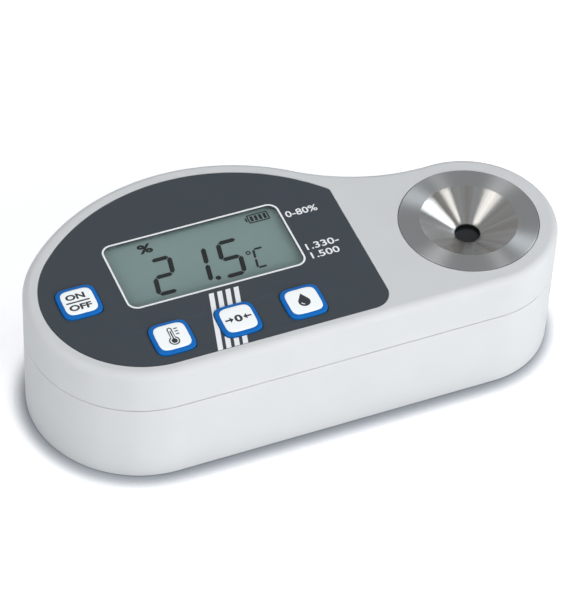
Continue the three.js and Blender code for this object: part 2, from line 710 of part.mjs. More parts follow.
// Conductive rubber strips that join the display's ledges to the board
function addZebraStrips() {
  const offset = lcdBackWidth / 2 - ZEBRA_WIDTH / 2;
  const bottom = boardTop + SEAT_GAP;
  for (const [name, side] of [['zebra_strip_front', -1], ['zebra_strip_back', 1]]) {
    const y = windowY + side * offset;
    const strip = block(windowX, y, lcdLength, ZEBRA_WIDTH, bottom, bottom + ZEBRA_HEIGHT);
    addPiece(name, strip, finishes.rubber);
  }
}

const boardEnd = wellX - BOARD_TO_WELL;

function mainBoard() {
  const plan = prismOf(casePlan(BOARD_INSET), boardBottom, boardTop);
  const reach = CASE_LENGTH / 2 + boardEnd;
  const half = block(boardEnd - reach / 2, 0, reach, CASE_WIDTH, boardBottom - CUT, boardTop + CUT);
  const below = boardBottom - CUT;
  const above = boardTop + CUT;
  const holes = [
    ...displayScrews.map((at) => cylinder(at.x, at.y, CASE_BOSS_RADIUS + LOOSE_GAP, below, above)),
    ...boardScrews.map((at) => cylinder(at.x, at.y, SMALL_SCREW_SHANK + FIT_GAP, below, above)),
  ];
  return holes.reduce((board, hole) => board.subtract(hole), plan.intersect(half));
}

function keyCap(key) {
  const flange = KEY_SIZE + 2 * KEY_FLANGE;
  return solid(ringStack([
    { points: squircle(key.x, key.y, flange), z: keyBottom },
    { points: squircle(key.x, key.y, flange), z: keyFlangeTop },
    { points: squircle(key.x, key.y, KEY_SIZE), z: keyFlangeTop },
    { points: squircle(key.x, key.y, KEY_SIZE), z: overlayTop + SEAT_GAP },
    { points: squircle(key.x, key.y, KEY_TOP_SIZE), z: CASE_HEIGHT + KEY_RISE },
  ]));
}

function switchBase(key) {
  const boreBottom = switchTop - PLUNGER_DEPTH - KEY_TRAVEL - PLUNGER_SPARE;
  const body = block(key.x, key.y, SWITCH_SIZE, SWITCH_SIZE, boardTop + SEAT_GAP, switchTop);
  return body.subtract(cylinder(key.x, key.y, PLUNGER_RADIUS + FIT_GAP, boreBottom, switchTop + CUT));
}

function addKeys() {
  for (const key of keys) {
    addPiece(`key_${key.name}`, keyCap(key), finishes.key);
    addPiece(`switch_${key.name}_base`, switchBase(key), finishes.black);
    addPiece(
      `switch_${key.name}_plunger`,
      cylinder(key.x, key.y, PLUNGER_RADIUS, switchTop - PLUNGER_DEPTH, plungerTop),
      finishes.brass,
    );
  }
}

const thermistorAt = onCircle(wellX, wellY, THERMISTOR_RING, 3 * Math.PI / 4);

// Sample well: one turned steel piece, flat ring outside, cone inside, pocket underneath
function sampleWell() {
  const body = turned(
    [
      [THROAT_RADIUS, pocketTop],
      [POCKET_RADIUS, pocketTop],
      [POCKET_RADIUS, barrelBottom],
      [BARREL_RADIUS, barrelBottom],
      [BARREL_RADIUS, flangeBottom],
      [WELL_RADIUS, flangeBottom],
      [WELL_RADIUS, wellTop - WELL_EDGE],
      [WELL_RADIUS - WELL_EDGE, wellTop],
      [CONE_RADIUS, wellTop],
      [THROAT_RADIUS, throatTop],
    ],
    wellX,
    wellY,
    FINE_SIDES,
  );
  const sensorTip = deckBottom + THERMISTOR_LENGTH;
  return body.subtract(cylinder(
    thermistorAt.x,
    thermistorAt.y,
    THERMISTOR_RADIUS + FIT_GAP,
    barrelBottom - CUT,
    sensorTip + LOOSE_GAP,
  ));
}

// A body drawn in length and height and pulled out across the casing
function acrossCase(points, width) {
  const flat = prismOf(points, -width / 2, width / 2);
  const matrix = new THREE.Matrix4().makeTranslation(wellX, wellY, 0);
  matrix.multiply(new THREE.Matrix4().makeRotationX(Math.PI / 2));
  return placed(flat, matrix);
}

// The measuring prism's section, narrower at the bottom
function prismSection(grow) {
  return [
    new THREE.Vector2(-PRISM_BOTTOM / 2 - grow, prismBottom - grow),
    new THREE.Vector2(PRISM_BOTTOM / 2 + grow, prismBottom - grow),
    new THREE.Vector2(PRISM_TOP / 2 + grow, prismTop),
    new THREE.Vector2(-PRISM_TOP / 2 - grow, prismTop),
  ];
}

// Light enters one slanted prism face and leaves by the other, square to both
const slope = Math.atan2((PRISM_TOP - PRISM_BOTTOM) / 2, PRISM_HEIGHT);
const faceX = (PRISM_TOP + PRISM_BOTTOM) / 4;
const faceZ = (prismTop + prismBottom) / 2;

// Places a body drawn along +Z from the middle of a slanted face, out along the light's path
function alongLight(side) {
  const matrix = new THREE.Matrix4().makeTranslation(wellX + side * faceX, wellY, faceZ);
  return matrix.multiply(new THREE.Matrix4().makeRotationY(side * (Math.PI / 2 + slope)));
}
const lampSide = alongLight(1);
const sensorSide = alongLight(-1);

function opticsBlock() {
  const deck = cylinder(wellX, wellY, deckRadius, deckBottom, deckTop, FINE_SIDES);
  const length = BLOCK_LEFT + BLOCK_RIGHT;
  const middle = wellX + (BLOCK_RIGHT - BLOCK_LEFT) / 2;
  const trunk = block(middle, wellY, length, BLOCK_WIDTH, blockBottom, deckTop);
  const backFace = SENSOR_AT + SENSOR_THICKNESS + LOOSE_GAP;
  const cuts = [
    acrossCase(prismSection(LOOSE_GAP), PRISM_WIDTH + 2 * LOOSE_GAP),
    placed(cylinder(0, 0, LAMP_RADIUS + LOOSE_GAP, 0, 2 * BLOCK_RIGHT), lampSide),
    placed(cylinder(0, 0, IMAGE_LENS_RADIUS + LOOSE_GAP, 0, 2 * BLOCK_LEFT), sensorSide),
    placed(block(0, 0, CASE_WIDTH, CASE_WIDTH, backFace, backFace + CASE_WIDTH), sensorSide),
    cylinder(
      thermistorAt.x,
      thermistorAt.y,
      THERMISTOR_RADIUS + FIT_GAP,
      blockBottom - CUT,
      deckTop + CUT,
    ),
    ...noseScrews.map((at) => cylinder(
      at.x,
      at.y,
      CASE_BOSS_RADIUS + LOOSE_GAP,
      blockBottom - CUT,
      deckTop + CUT,
    )),
    ...opticsScrews.map((at) => cylinder(
      at.x,
      at.y,
      SMALL_SCREW_SHANK + FIT_GAP,
      blockBottom - CUT,
      deckTop + CUT,
    )),
  ];
  return cuts.reduce((sum, cut) => sum.subtract(cut), deck.add(trunk));
}

// A round lens, thicker in the middle, drawn along +Z from its first face
function lens(radius, thickness, at) {
  const edge = thickness / 4;
  return turned(
    [
      [0, at],
      [radius * Math.SQRT1_2, at + edge / 2],
      [radius, at + edge],
      [radius, at + thickness - edge],
      [radius * Math.SQRT1_2, at + thickness - edge / 2],
      [0, at + thickness],
    ],
    0,
    0,
    COARSE_SIDES,
  );
}

function lamp() {
  const dome = LAMP_RADIUS;
  const profile = [[0, LAMP_AT]];
  for (let step = 1; step <= FILLET_STEPS; step += 1) {
    const angle = step / FILLET_STEPS * Math.PI / 2;
    profile.push([dome * Math.sin(angle), LAMP_AT + dome * (1 - Math.cos(angle))]);
  }
  profile.push([dome, LAMP_AT + dome + LAMP_LENGTH], [0, LAMP_AT + dome + LAMP_LENGTH]);
  return turned(profile, 0, 0, COARSE_SIDES);
}

const sensorBoardAt = SENSOR_AT + SENSOR_THICKNESS + 2 * LOOSE_GAP;

// The flat cable's middle line, from the sensor board's back up to its socket under the main board
function ribbonPath() {
  const start = new THREE.Vector3(0, 0, sensorBoardAt + SENSOR_BOARD_THICKNESS + LOOSE_GAP);
  start.applyMatrix4(sensorSide);
  const socketX = boardEnd - CONNECTOR_LENGTH / 2;
  const socketZ = boardBottom - CONNECTOR_HEIGHT - LOOSE_GAP - RIBBON_THICKNESS;
  const rise = (socketZ - start.z) / 3;
  return new THREE.CubicBezierCurve(
    new THREE.Vector2(start.x - wellX, start.z),
    new THREE.Vector2(start.x - wellX - rise, start.z - rise * Math.sin(slope)),
    new THREE.Vector2(socketX - wellX + CONNECTOR_LENGTH, socketZ),
    new THREE.Vector2(socketX - wellX, socketZ),
  );
}

function ribbonCable() {
  const path = ribbonPath();
  const above = [];
  const below = [];
  for (let step = 0; step <= COARSE_SIDES / 2; step += 1) {
    const share = step / (COARSE_SIDES / 2);
    const point = path.getPoint(share);
    const tangent = path.getTangent(share);
    const offset = new THREE.Vector2(-tangent.y, tangent.x).multiplyScalar(RIBBON_THICKNESS / 2);
    above.push(point.clone().add(offset));
    below.push(point.clone().sub(offset));
  }
  return acrossCase([...below, ...above.reverse()], RIBBON_WIDTH);
}

function addOptics() {
  addPiece('sample_well', sampleWell(), finishes.steel);
  const gasketBottom = gasketFloor + SEAT_GAP;
  addPiece(
    'well_seal',
    ring(wellX, wellY, gasketRadius, GASKET_CORD, gasketBottom, ROUND_SIDES),
    finishes.rubber,
  );
  addPiece('prism', acrossCase(prismSection(0), PRISM_WIDTH), finishes.clear);
  const sealRadius = THROAT_RADIUS + PRISM_SEAL_CORD;
  addPiece(
    'prism_seal',
    ring(wellX, wellY, sealRadius, PRISM_SEAL_CORD, prismTop + SEAT_GAP, COARSE_SIDES),
    finishes.rubber,
  );
  addPiece('optics_block', opticsBlock(), finishes.black);
  addPiece('light_source', placed(lamp(), lampSide), finishes.lamp);
  addPiece('lamp_lens', placed(lens(LAMP_RADIUS, LENS_THICKNESS, LAMP_LENS_AT), lampSide), finishes.clear);
  const imageLens = lens(IMAGE_LENS_RADIUS, LENS_THICKNESS, IMAGE_LENS_AT);
  addPiece('image_lens', placed(imageLens, sensorSide), finishes.clear);
  const chip = block(0, 0, SENSOR_SIZE, SENSOR_SIZE, SENSOR_AT, SENSOR_AT + SENSOR_THICKNESS);
  addPiece('sensor_chip', placed(chip, sensorSide), finishes.black);
  const board = block(
    0,
    0,
    SENSOR_BOARD_LENGTH,
    SENSOR_BOARD_WIDTH,
    sensorBoardAt,
    sensorBoardAt + SENSOR_BOARD_THICKNESS,
  );
  addPiece('sensor_board', placed(board, sensorSide), finishes.board);
  addPiece(
    'temperature_sensor',
    cylinder(
      thermistorAt.x,
      thermistorAt.y,
      THERMISTOR_RADIUS,
      deckBottom,
      deckBottom + THERMISTOR_LENGTH,
    ),
    finishes.brass,
  );
  addPiece('sensor_ribbon', ribbonCable(), finishes.ribbon);
  const socketTop = boardBottom - SEAT_GAP;
  addPiece(
    'ribbon_socket',
    block(
      boardEnd - CONNECTOR_LENGTH / 2,
      wellY,
      CONNECTOR_LENGTH,
      RIBBON_WIDTH + 2 * LOOSE_GAP,
      socketTop - CONNECTOR_HEIGHT,
      socketTop,
    ),
    finishes.black,
  );
}

// Battery cell lying along the casing, button end to the left
function batteryCell() {
  const profile = [
    [0, 0],
    [NUB_RADIUS, 0],
    [NUB_RADIUS, NUB_LENGTH],
    [CELL_RADIUS - NUB_LENGTH / 2, NUB_LENGTH],
    [CELL_RADIUS, NUB_LENGTH * 1.5],
    [CELL_RADIUS, CELL_LENGTH - NUB_LENGTH / 2],
    [CELL_RADIUS - NUB_LENGTH / 2, CELL_LENGTH],
    [0, CELL_LENGTH],
  ];
  const start = plusContactX + CONTACT_THICKNESS / 2 + LOOSE_GAP;
  const matrix = new THREE.Matrix4().makeTranslation(start, bayY, cellCentre);
  matrix.multiply(new THREE.Matrix4().makeRotationY(Math.PI / 2));
  return placed(turned(profile, 0, 0, ROUND_SIDES), matrix);
}

// A contact strip: up through the bay's roof to a spring finger under the main board
function contactStrip(x, towards) {
  const top = boardBottom - SEAT_GAP;
  const stem = block(x, bayY, CONTACT_THICKNESS, CONTACT_WIDTH, coverSeat + LOOSE_GAP, top);
  const fingerX = x + towards * (CONTACT_FINGER - CONTACT_THICKNESS) / 2;
  return stem.add(block(fingerX, bayY, CONTACT_FINGER, CONTACT_WIDTH, top - CONTACT_THICKNESS, top));
}

// The cell's spring narrows towards the cell
class SpringPath extends THREE.Curve {
  getPoint(share) {
    const angle = share * SPRING_TURNS * 2 * Math.PI;
    const radius = SPRING_RADIUS + (SPRING_TIP_RADIUS - SPRING_RADIUS) * share;
    const run = SPRING_LENGTH - SPRING_WIRE;
    return new THREE.Vector3(-share * run, radius * Math.cos(angle), radius * Math.sin(angle));
  }
}

function batterySpring() {
  const section = new THREE.Shape(circlePoints(0, 0, SPRING_WIRE / 2, CORD_SIDES));
  const geometry = new THREE.ExtrudeGeometry(section, {
    steps: SPRING_TURNS * COARSE_SIDES,
    extrudePath: new SpringPath(),
  });
  const start = minusContactX - CONTACT_THICKNESS / 2 - LOOSE_GAP / 2 - SPRING_WIRE / 2;
  geometry.translate(start, bayY, cellCentre);
  return solid(geometry);
}

function batteryCover() {
  const outline = roundedRectangle(coverX, bayY, coverLength, coverWidth, COVER_CORNER);
  const plate = prismOf(outline, COVER_RECESS, coverTop);
  const bossRadius = COIN_BOSS_RADIUS - COVER_SEAL_WIDTH;
  const boss = cylinder(coinX, bayY, bossRadius, COVER_RECESS, coverSeat - SEAT_GAP);
  const rib = block(bayX, bayY, bayLength - 2 * LOOSE_GAP, bayWidth / 2, COVER_RECESS, coverSeat);
  const headSpace = COVER_RECESS + COIN_HEAD_HEIGHT + SEAT_GAP;
  return plate.add(boss).add(rib)
    .subtract(cylinder(coinX, bayY, COIN_HEAD_RADIUS + FIT_GAP, -CUT, headSpace))
    .subtract(cylinder(coinX, bayY, COIN_SHANK_RADIUS + FIT_GAP, -CUT, coverSeat + CUT));
}

function coverSeal() {
  const bottom = coverTop + SEAT_GAP;
  const inner = { length: bayLength + 2 * LOOSE_GAP, width: bayWidth + 2 * LOOSE_GAP };
  const outer = roundedRectangle(
    bayX,
    bayY,
    inner.length + 2 * COVER_SEAL_WIDTH,
    inner.width + 2 * COVER_SEAL_WIDTH,
    COVER_SEAL_WIDTH,
  );
  const body = prismOf(outer, bottom, bottom + COVER_SEAL);
  return body.subtract(block(bayX, bayY, inner.length, inner.width, bottom - CUT, bottom + COVER_SEAL + CUT));
}

// Coin-slotted screw, captive in the battery cover
function coverScrew() {
  const head = cylinder(coinX, bayY, COIN_HEAD_RADIUS, COVER_RECESS, COVER_RECESS + COIN_HEAD_HEIGHT);
  const shank = cylinder(coinX, bayY, COIN_SHANK_RADIUS, COVER_RECESS, COVER_RECESS + COIN_SHANK_LENGTH);
  const slotTop = COVER_RECESS + COIN_HEAD_HEIGHT / 2;
  return head.add(shank).subtract(block(coinX, bayY, COIN_SLOT, 3 * COIN_HEAD_RADIUS, -CUT, slotTop));
}

function addBattery() {
  addPiece('battery_cell', batteryCell(), finishes.cell);
  addPiece('battery_contact_plus', contactStrip(plusContactX, 1), finishes.brass);
  addPiece('battery_contact_minus', contactStrip(minusContactX, -1), finishes.brass);
  addPiece('battery_spring', batterySpring(), finishes.steel);
  addPiece('battery_cover', batteryCover(), finishes.casing);
  addPiece('battery_cover_seal', coverSeal(), finishes.rubber);
  addPiece('battery_cover_screw', coverScrew(), finishes.steel);
}

// A screw driven upwards, its head at the bottom with a drive slot
function screw(at, headRadius, headHeight, shankRadius, length, headTop) {
  const head = cylinder(at.x, at.y, headRadius, headTop - headHeight, headTop);
  const shankBottom = headTop - headHeight / 2;
  const shank = cylinder(at.x, at.y, shankRadius, shankBottom, headTop + length, COARSE_SIDES / 2);
  const slotTop = headTop - headHeight / 2;
  const slotBottom = headTop - headHeight - CUT;
  return head.add(shank)
    .subtract(block(at.x, at.y, DRIVE_SLOT, headRadius, slotBottom, slotTop))
    .subtract(block(at.x, at.y, headRadius, DRIVE_SLOT, slotBottom, slotTop));
}

function addScrews() {
  caseScrews.forEach((at, index) => {
    const body = screw(
      at,
      CASE_SCREW_HEAD,
      CASE_SCREW_HEAD_HEIGHT,
      CASE_SCREW_SHANK,
      CASE_SCREW_LENGTH,
      CASE_SCREW_SINK - SEAT_GAP,
    );
    addPiece(`case_screw_${index + 1}`, body, finishes.steel);
  });
  const small = [
    ['board_screw', boardScrews, boardBottom],
    ['optics_screw', opticsScrews, deckBottom],
  ];
  for (const [name, places, under] of small) {
    places.forEach((at, index) => {
      const body = screw(
        at,
        SMALL_SCREW_HEAD,
        SMALL_SCREW_HEAD_HEIGHT,
        SMALL_SCREW_SHANK,
        SMALL_SCREW_LENGTH,
        under - SEAT_GAP,
      );
      addPiece(`${name}_${index + 1}`, body, finishes.steel);
    });
  }
}

addPiece('upper_housing', upperHousing(), finishes.casing);
addPiece('lower_housing', lowerHousing(), finishes.casing);
addPiece('housing_seal', housingSeal(), finishes.rubber);
addPiece('keypad_overlay', keypadOverlay(), finishes.overlay);
addPiece('display_window', displayWindow(), finishes.clear);
addPiece('lcd_cell', lcdCell(), finishes.lcd);
addPiece('display_frame', displayFrame(), finishes.black);
addZebraStrips();
addPiece('main_board', mainBoard(), finishes.board);
addPiece(
  'controller_chip',
  block(windowX, windowY, CHIP_SIZE, CHIP_SIZE, boardBottom - SEAT_GAP - CHIP_HEIGHT, boardBottom - SEAT_GAP),
  finishes.black,
);
addKeys();
addOptics();
addBattery();
addScrews();

export default part;
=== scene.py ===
# %% [markdown]
# # A pocket digital refractometer
# A refractometer reads how strongly a drop of liquid bends light. The drop goes into the steel well on the
# right, a prism under it bends a beam of light, and the display shows a number. The solids of the object
# already exist as a imported frame. This lesson loads them, makes finer bodies for the pieces that show,
# and gives every piece the finish of its real material, except for painted reflection in the well's cone
# and painted shade in place of the prism's glass.

import json
import math

import bmesh
import bpy
from mathutils import Matrix, Vector


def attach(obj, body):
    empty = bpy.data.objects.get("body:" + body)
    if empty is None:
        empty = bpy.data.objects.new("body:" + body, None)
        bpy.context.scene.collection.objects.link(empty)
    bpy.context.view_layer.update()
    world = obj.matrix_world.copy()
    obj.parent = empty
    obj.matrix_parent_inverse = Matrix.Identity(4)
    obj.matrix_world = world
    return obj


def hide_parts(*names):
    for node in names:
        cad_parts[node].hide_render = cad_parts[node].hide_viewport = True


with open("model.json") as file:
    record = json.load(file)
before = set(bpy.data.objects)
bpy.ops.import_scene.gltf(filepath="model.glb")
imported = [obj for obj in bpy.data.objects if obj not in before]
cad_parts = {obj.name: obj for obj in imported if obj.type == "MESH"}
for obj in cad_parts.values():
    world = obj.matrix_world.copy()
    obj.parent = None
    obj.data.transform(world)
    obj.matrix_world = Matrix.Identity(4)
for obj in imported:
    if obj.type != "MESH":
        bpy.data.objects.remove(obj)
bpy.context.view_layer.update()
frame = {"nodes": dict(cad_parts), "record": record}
MM = 0.001
print("nodes in the frame:", len(frame["nodes"]))

# %% [markdown]
# ## Sizes
# The finer bodies follow the same drawing as the solids, so they share its sizes: the plan of
# the casing, the heights of its layers, and the clearances between them. They are written in
# millimetres, as on a drawing, and turned into metres only where a mesh is made.

# %% Sizes of the casing, in millimetres
SEAT_GAP, FIT_GAP, LOOSE_GAP = 0.05, 0.15, 0.3
CASE_LENGTH, CASE_WIDTH, CASE_HEIGHT = 121.85, 58.5, 32.5
PARTING_HEIGHT, PARTING_GAP = 21.3, 0.2
LEFT_EASE, BELLY_FROM_LEFT, NECK_RADIUS = 3.88, 42.64, 46.4
WALL, TOP_WALL, FLOOR_WALL = 2.2, 1.9, 3
TOP_FILLET, BASE_FILLET, EDGE_BREAK = 1.8, 0.2, 0.06
LIP_THICKNESS, LIP_DEPTH, SEAL_HEIGHT = 1, 1.8, 0.8
WELL_RADIUS, WELL_RIM, WELL_PROUD = 15.75, 4.35, 0.2

nose_radius = WELL_RADIUS + WELL_RIM
well = Vector((CASE_LENGTH / 2 - nose_radius, nose_radius - CASE_WIDTH / 2))
left_radius = CASE_WIDTH / 2 - LEFT_EASE
left = Vector((left_radius - CASE_LENGTH / 2, left_radius - CASE_WIDTH / 2))
belly_x = BELLY_FROM_LEFT - CASE_LENGTH / 2
belly_radius = CASE_WIDTH / 2 + (belly_x - left.x) ** 2 / (4 * LEFT_EASE)
belly = Vector((belly_x, CASE_WIDTH / 2 - belly_radius))
print("belly radius %.1f mm, nose radius %.1f mm" % (belly_radius, nose_radius))

# %% Sizes of the window, the keys and the layers at the deck
WINDOW_LENGTH, WINDOW_WIDTH, WINDOW_CORNER, WINDOW_X, WINDOW_Y = 40.8, 19.2, 2, -18.575, 1.05
KEY_SIZE, KEY_TOP_SIZE, KEY_RISE, KEY_PITCH, KEY_ROW_Y, ON_OFF_Y = 9.1, 7.15, 0.6, 15.25, -19.6, -2.95
RECESS_DEPTH, FILM_THICKNESS, PANE_THICKNESS, BOARD_TOP = 0.4, 0.3, 0.8, 26

window = Vector((WINDOW_X, WINDOW_Y))
key_places = {"on_off": Vector((window.x - 2 * KEY_PITCH, ON_OFF_Y))}
for pitches, key_name in ((-1, "temperature"), (0, "calibrate"), (1, "measure")):
    key_places[key_name] = Vector((window.x + pitches * KEY_PITCH, KEY_ROW_Y))
overlay_floor = CASE_HEIGHT - RECESS_DEPTH
overlay_bottom = overlay_floor + SEAT_GAP
overlay_top = overlay_bottom + FILM_THICKNESS
pane_bottom = overlay_floor - SEAT_GAP - PANE_THICKNESS
lcd_top = pane_bottom - FIT_GAP
ceiling = CASE_HEIGHT - TOP_WALL
well_top = CASE_HEIGHT + WELL_PROUD
print("keys:", ", ".join(key_places))

# %% [markdown]
# ## Outlines
# The casing's plan is a chain of arcs that touch: a nose round the well, a hollow neck, a wide
# belly at the back, and a round left end that runs into the straight front. Drawing it from
# arcs means that one function can also draw it a little smaller, which gives the rounded top
# edge, the wall's inside and the overlay.

# %% Draw arcs, circles and corners
CORNERS = ((-1, -1), (1, -1), (1, 1), (-1, 1))


def around(centre, radius, angles):
    return [Vector((centre[0] + radius * math.cos(a), centre[1] + radius * math.sin(a))) for a in angles]


def arc(centre, radius, start, end, step=0.9, inset=0.0):
    """An arc that is drawn in by an inset keeps as many points as the arc that it came from."""
    count = max(2, math.ceil(radius * abs(end - start) / step))
    return around(centre, radius - inset, [start + (end - start) * i / count for i in range(count + 1)])


def circle(centre, radius, sides=64):
    return around(centre, radius, [2 * math.pi * i / sides for i in range(sides)])


def rounded_rectangle(centre, length, width, corner, step=0.25):
    points = []
    for quarter, (sx, sy) in enumerate([(1, 1), (-1, 1), (-1, -1), (1, -1)]):
        at = (centre[0] + sx * (length / 2 - corner), centre[1] + sy * (width / 2 - corner))
        points += arc(at, corner, quarter * math.pi / 2, (quarter + 1) * math.pi / 2, step)
    return points


def squircle(centre, size, sides=96, squareness=4.6):
    """A square with bowed sides and round corners, as a key has."""
    points = []
    for i in range(sides):
        angle = 2 * math.pi * i / sides
        x, y = [math.copysign(abs(c) ** (2 / squareness), c) for c in (math.cos(angle), math.sin(angle))]
        points.append(Vector((centre[0] + x * size / 2, centre[1] + y * size / 2)))
    return points


print("points of a key's outline:", len(squircle(window, KEY_SIZE)))

# %% Draw the casing's plan
def belly_and_left(inset, front_inset, radius, start):
    """The back of the belly and the left end, down to the straight front."""
    y = front_inset + radius - CASE_WIDTH / 2
    x = belly.x - math.sqrt((belly_radius - inset - radius) ** 2 - (y - belly.y) ** 2)
    touch = math.atan2(y - belly.y, x - belly.x)
    back = arc(belly, belly_radius, start, touch, inset=inset)
    return back + arc((x, y), left_radius, touch, 1.5 * math.pi, inset=left_radius - radius)[1:]


def case_plan(inset):
    across = belly - well
    a, b = nose_radius + NECK_RADIUS, belly_radius + NECK_RADIUS
    along = (a * a - b * b + across.length_squared) / (2 * across.length)
    off = math.sqrt(a * a - along * along)
    unit = across.normalized()
    neck = well + unit * along + Vector((unit.y, -unit.x)) * off
    at_nose = math.atan2(neck.y - well.y, neck.x - well.x)
    at_belly = math.atan2(neck.y - belly.y, neck.x - belly.x)
    nose = arc(well, nose_radius, -math.pi / 2, 0, inset=inset)
    nose += arc(well, nose_radius, 0, at_nose, inset=inset)[1:]
    hollow = arc(neck, NECK_RADIUS, at_nose - math.pi, at_belly - math.pi, inset=-inset)
    return nose + hollow[1:] + belly_and_left(inset, inset, left_radius - inset, at_belly)[1:]


print("points in the casing's plan:", len(case_plan(0)))

# %% Draw the overlay's plan
OVERLAY_INSET, OVERLAY_FRONT_INSET, OVERLAY_LEFT_EASE = 3.47, 2.74, 0.45
OVERLAY_PAST_WINDOW, OVERLAY_CORNER, OVERLAY_TIP = 13.5, 4.5, 1


def overlay_plan(grow=0.0):
    inset, front_inset = OVERLAY_INSET - grow, OVERLAY_FRONT_INSET - grow
    left_end = left_radius - inset + OVERLAY_LEFT_EASE
    end = window.x + WINDOW_LENGTH / 2 + OVERLAY_PAST_WINDOW + grow
    corner, tip = OVERLAY_CORNER + grow, OVERLAY_TIP + grow
    front = front_inset - CASE_WIDTH / 2
    tip_x = end - tip
    tip_y = belly.y + math.sqrt((belly_radius - inset - tip) ** 2 - (tip_x - belly.x) ** 2)
    touch = math.atan2(tip_y - belly.y, tip_x - belly.x)
    round_front = arc((end - corner, front + corner), corner, -math.pi / 2, 0, 0.4)
    round_back = arc((tip_x, tip_y), tip, 0, touch, 0.15)
    return round_front + round_back + belly_and_left(inset, front_inset, left_end, touch)[1:]


print("points in the overlay's plan:", len(overlay_plan()))

# %% [markdown]
# ## Solids from outlines
# Most pieces here are outlines stacked on each other: a wall is two equal outlines, a rounded
# edge is a few outlines that draw in. A stack is closed with a face at each end, so it is a
# solid from the start and can be cut by other solids. A solid that cuts through a face ends a
# millimetre or so past it, because two faces in one plane make a poor cut.

# %% Stack outlines
def link(obj):
    bpy.context.scene.collection.objects.link(obj)
    return obj


def object_from(bm, name):
    bmesh.ops.recalc_face_normals(bm, faces=bm.faces)
    mesh = bpy.data.meshes.new(name)
    bm.to_mesh(mesh)
    bm.free()
    return link(bpy.data.objects.new(name, mesh))


def stack(name, rings):
    """Rings are pairs of an outline and a height, from the bottom up, all with as many points."""
    bm = bmesh.new()
    levels = [[bm.verts.new((p.x * MM, p.y * MM, z * MM)) for p in outline] for outline, z in rings]
    for low, high in zip(levels, levels[1:]):
        for i in range(len(low)):
            j = (i + 1) % len(low)
            bm.faces.new((low[i], low[j], high[j], high[i]))
    bm.faces.new(levels[0])
    bm.faces.new(levels[-1])
    return object_from(bm, name)


def prism(outline, bottom, top):
    return stack("tool", [(outline, bottom), (outline, top)])


def cylinder(at, radius, bottom, top, sides=64):
    return prism(circle(at, radius, sides), bottom, top)


def block(at, length, width, bottom, top):
    outline = [Vector((at[0] + x * length / 2, at[1] + y * width / 2)) for x, y in CORNERS]
    return prism(outline, bottom, top)


print("solids with straight walls: prism, cylinder, block")

# %% Turn profiles and round edges
def turned(name, profile, sides, at=(0, 0)):
    """A profile of radius and height pairs, turned about an upright axis through a place in plan."""
    bm = bmesh.new()
    columns = []
    for i in range(sides):
        c, s = math.cos(2 * math.pi * i / sides), math.sin(2 * math.pi * i / sides)
        column = [((at[0] + r * c) * MM, (at[1] + r * s) * MM, z * MM) for r, z in profile]
        columns.append([bm.verts.new(point) for point in column])
    for here, there in zip(columns, columns[1:] + columns[:1]):
        for k in range(len(profile)):
            n = (k + 1) % len(profile)
            bm.faces.new((here[k], there[k], there[n], here[n]))
    bmesh.ops.remove_doubles(bm, verts=bm.verts, dist=1e-7)
    bmesh.ops.dissolve_degenerate(bm, edges=bm.edges, dist=1e-8)
    return object_from(bm, name)


def quarter_round(steps):
    """For an edge rounded by one unit: how far it has drawn in, and how far below the top it is."""
    angles = [i / steps * math.pi / 2 for i in range(steps + 1)]
    return [(1 - math.cos(a), 1 - math.sin(a)) for a in angles]


print("a round edge in two steps:", quarter_round(2))

# %% Cut, join and smooth solids
def evaluated_mesh(obj, name, keep_layers=False):
    """The mesh that an object's modifiers make of it."""
    bpy.context.view_layer.update()
    graph = bpy.context.evaluated_depsgraph_get()
    mesh = bpy.data.meshes.new_from_object(
        obj.evaluated_get(graph), preserve_all_data_layers=keep_layers, depsgraph=graph
    )
    mesh.name = name
    return mesh


def worked(base, name, *rounds):
    """Cuts solids out of a base or joins them to it, round after round, into a new object."""
    used = [base]
    for operation, tools in rounds:
        for tool in tools:
            modifier = base.modifiers.new("step", "BOOLEAN")
            modifier.operation = operation
            modifier.solver = "EXACT"
            modifier.object = tool
            used.append(tool)
    result = link(bpy.data.objects.new(name, evaluated_mesh(base, name)))
    for obj in used:
        bpy.data.objects.remove(obj)
    result.data.materials.clear()
    return result


def shaded(obj, angle):
    obj.data.shade_smooth()
    obj.data.set_sharp_from_angle(angle=math.radians(angle))
    return obj


def smoothed(obj, angle=35):
    """Smooth shading with crisp edges, where the large flat faces keep their own direction."""
    modifier = shaded(obj, angle).modifiers.new("weighted", "WEIGHTED_NORMAL")
    modifier.keep_sharp = True
    modifier.weight = 80
    obj.data = evaluated_mesh(obj, obj.name, keep_layers=True)
    obj.modifiers.clear()
    return obj


print("ways to work a solid: worked, shaded, smoothed")

# %% Hand a finished piece over
def piece(obj, material, body, replaces=()):
    """Gives a finished piece its material, its body and the solids that it stands for."""
    if material is not None:
        obj.data.materials.clear()
        obj.data.materials.append(material)
    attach(obj, body)
    if replaces:
        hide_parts(*replaces)
    print(obj.name, "faces:", len(obj.data.polygons))


def two_finishes(obj, first, second, is_first, angle):
    """Gives each face one of two materials, by where its middle lies, and smooths the piece."""
    obj.data.materials.append(first)
    obj.data.materials.append(second)
    for face in obj.data.polygons:
        face.material_index = 0 if is_first(face.center) else 1
    return shaded(obj, angle)


# %% [markdown]
# ## Flat plates and marks
# The overlay, the window, the display's segments and all printing are flat. A filled 2D curve
# takes any outline with any holes and gives it a thickness, so it suits all of them, and a tiny
# bevel breaks the edge as on a cut sheet. It becomes a mesh at once.

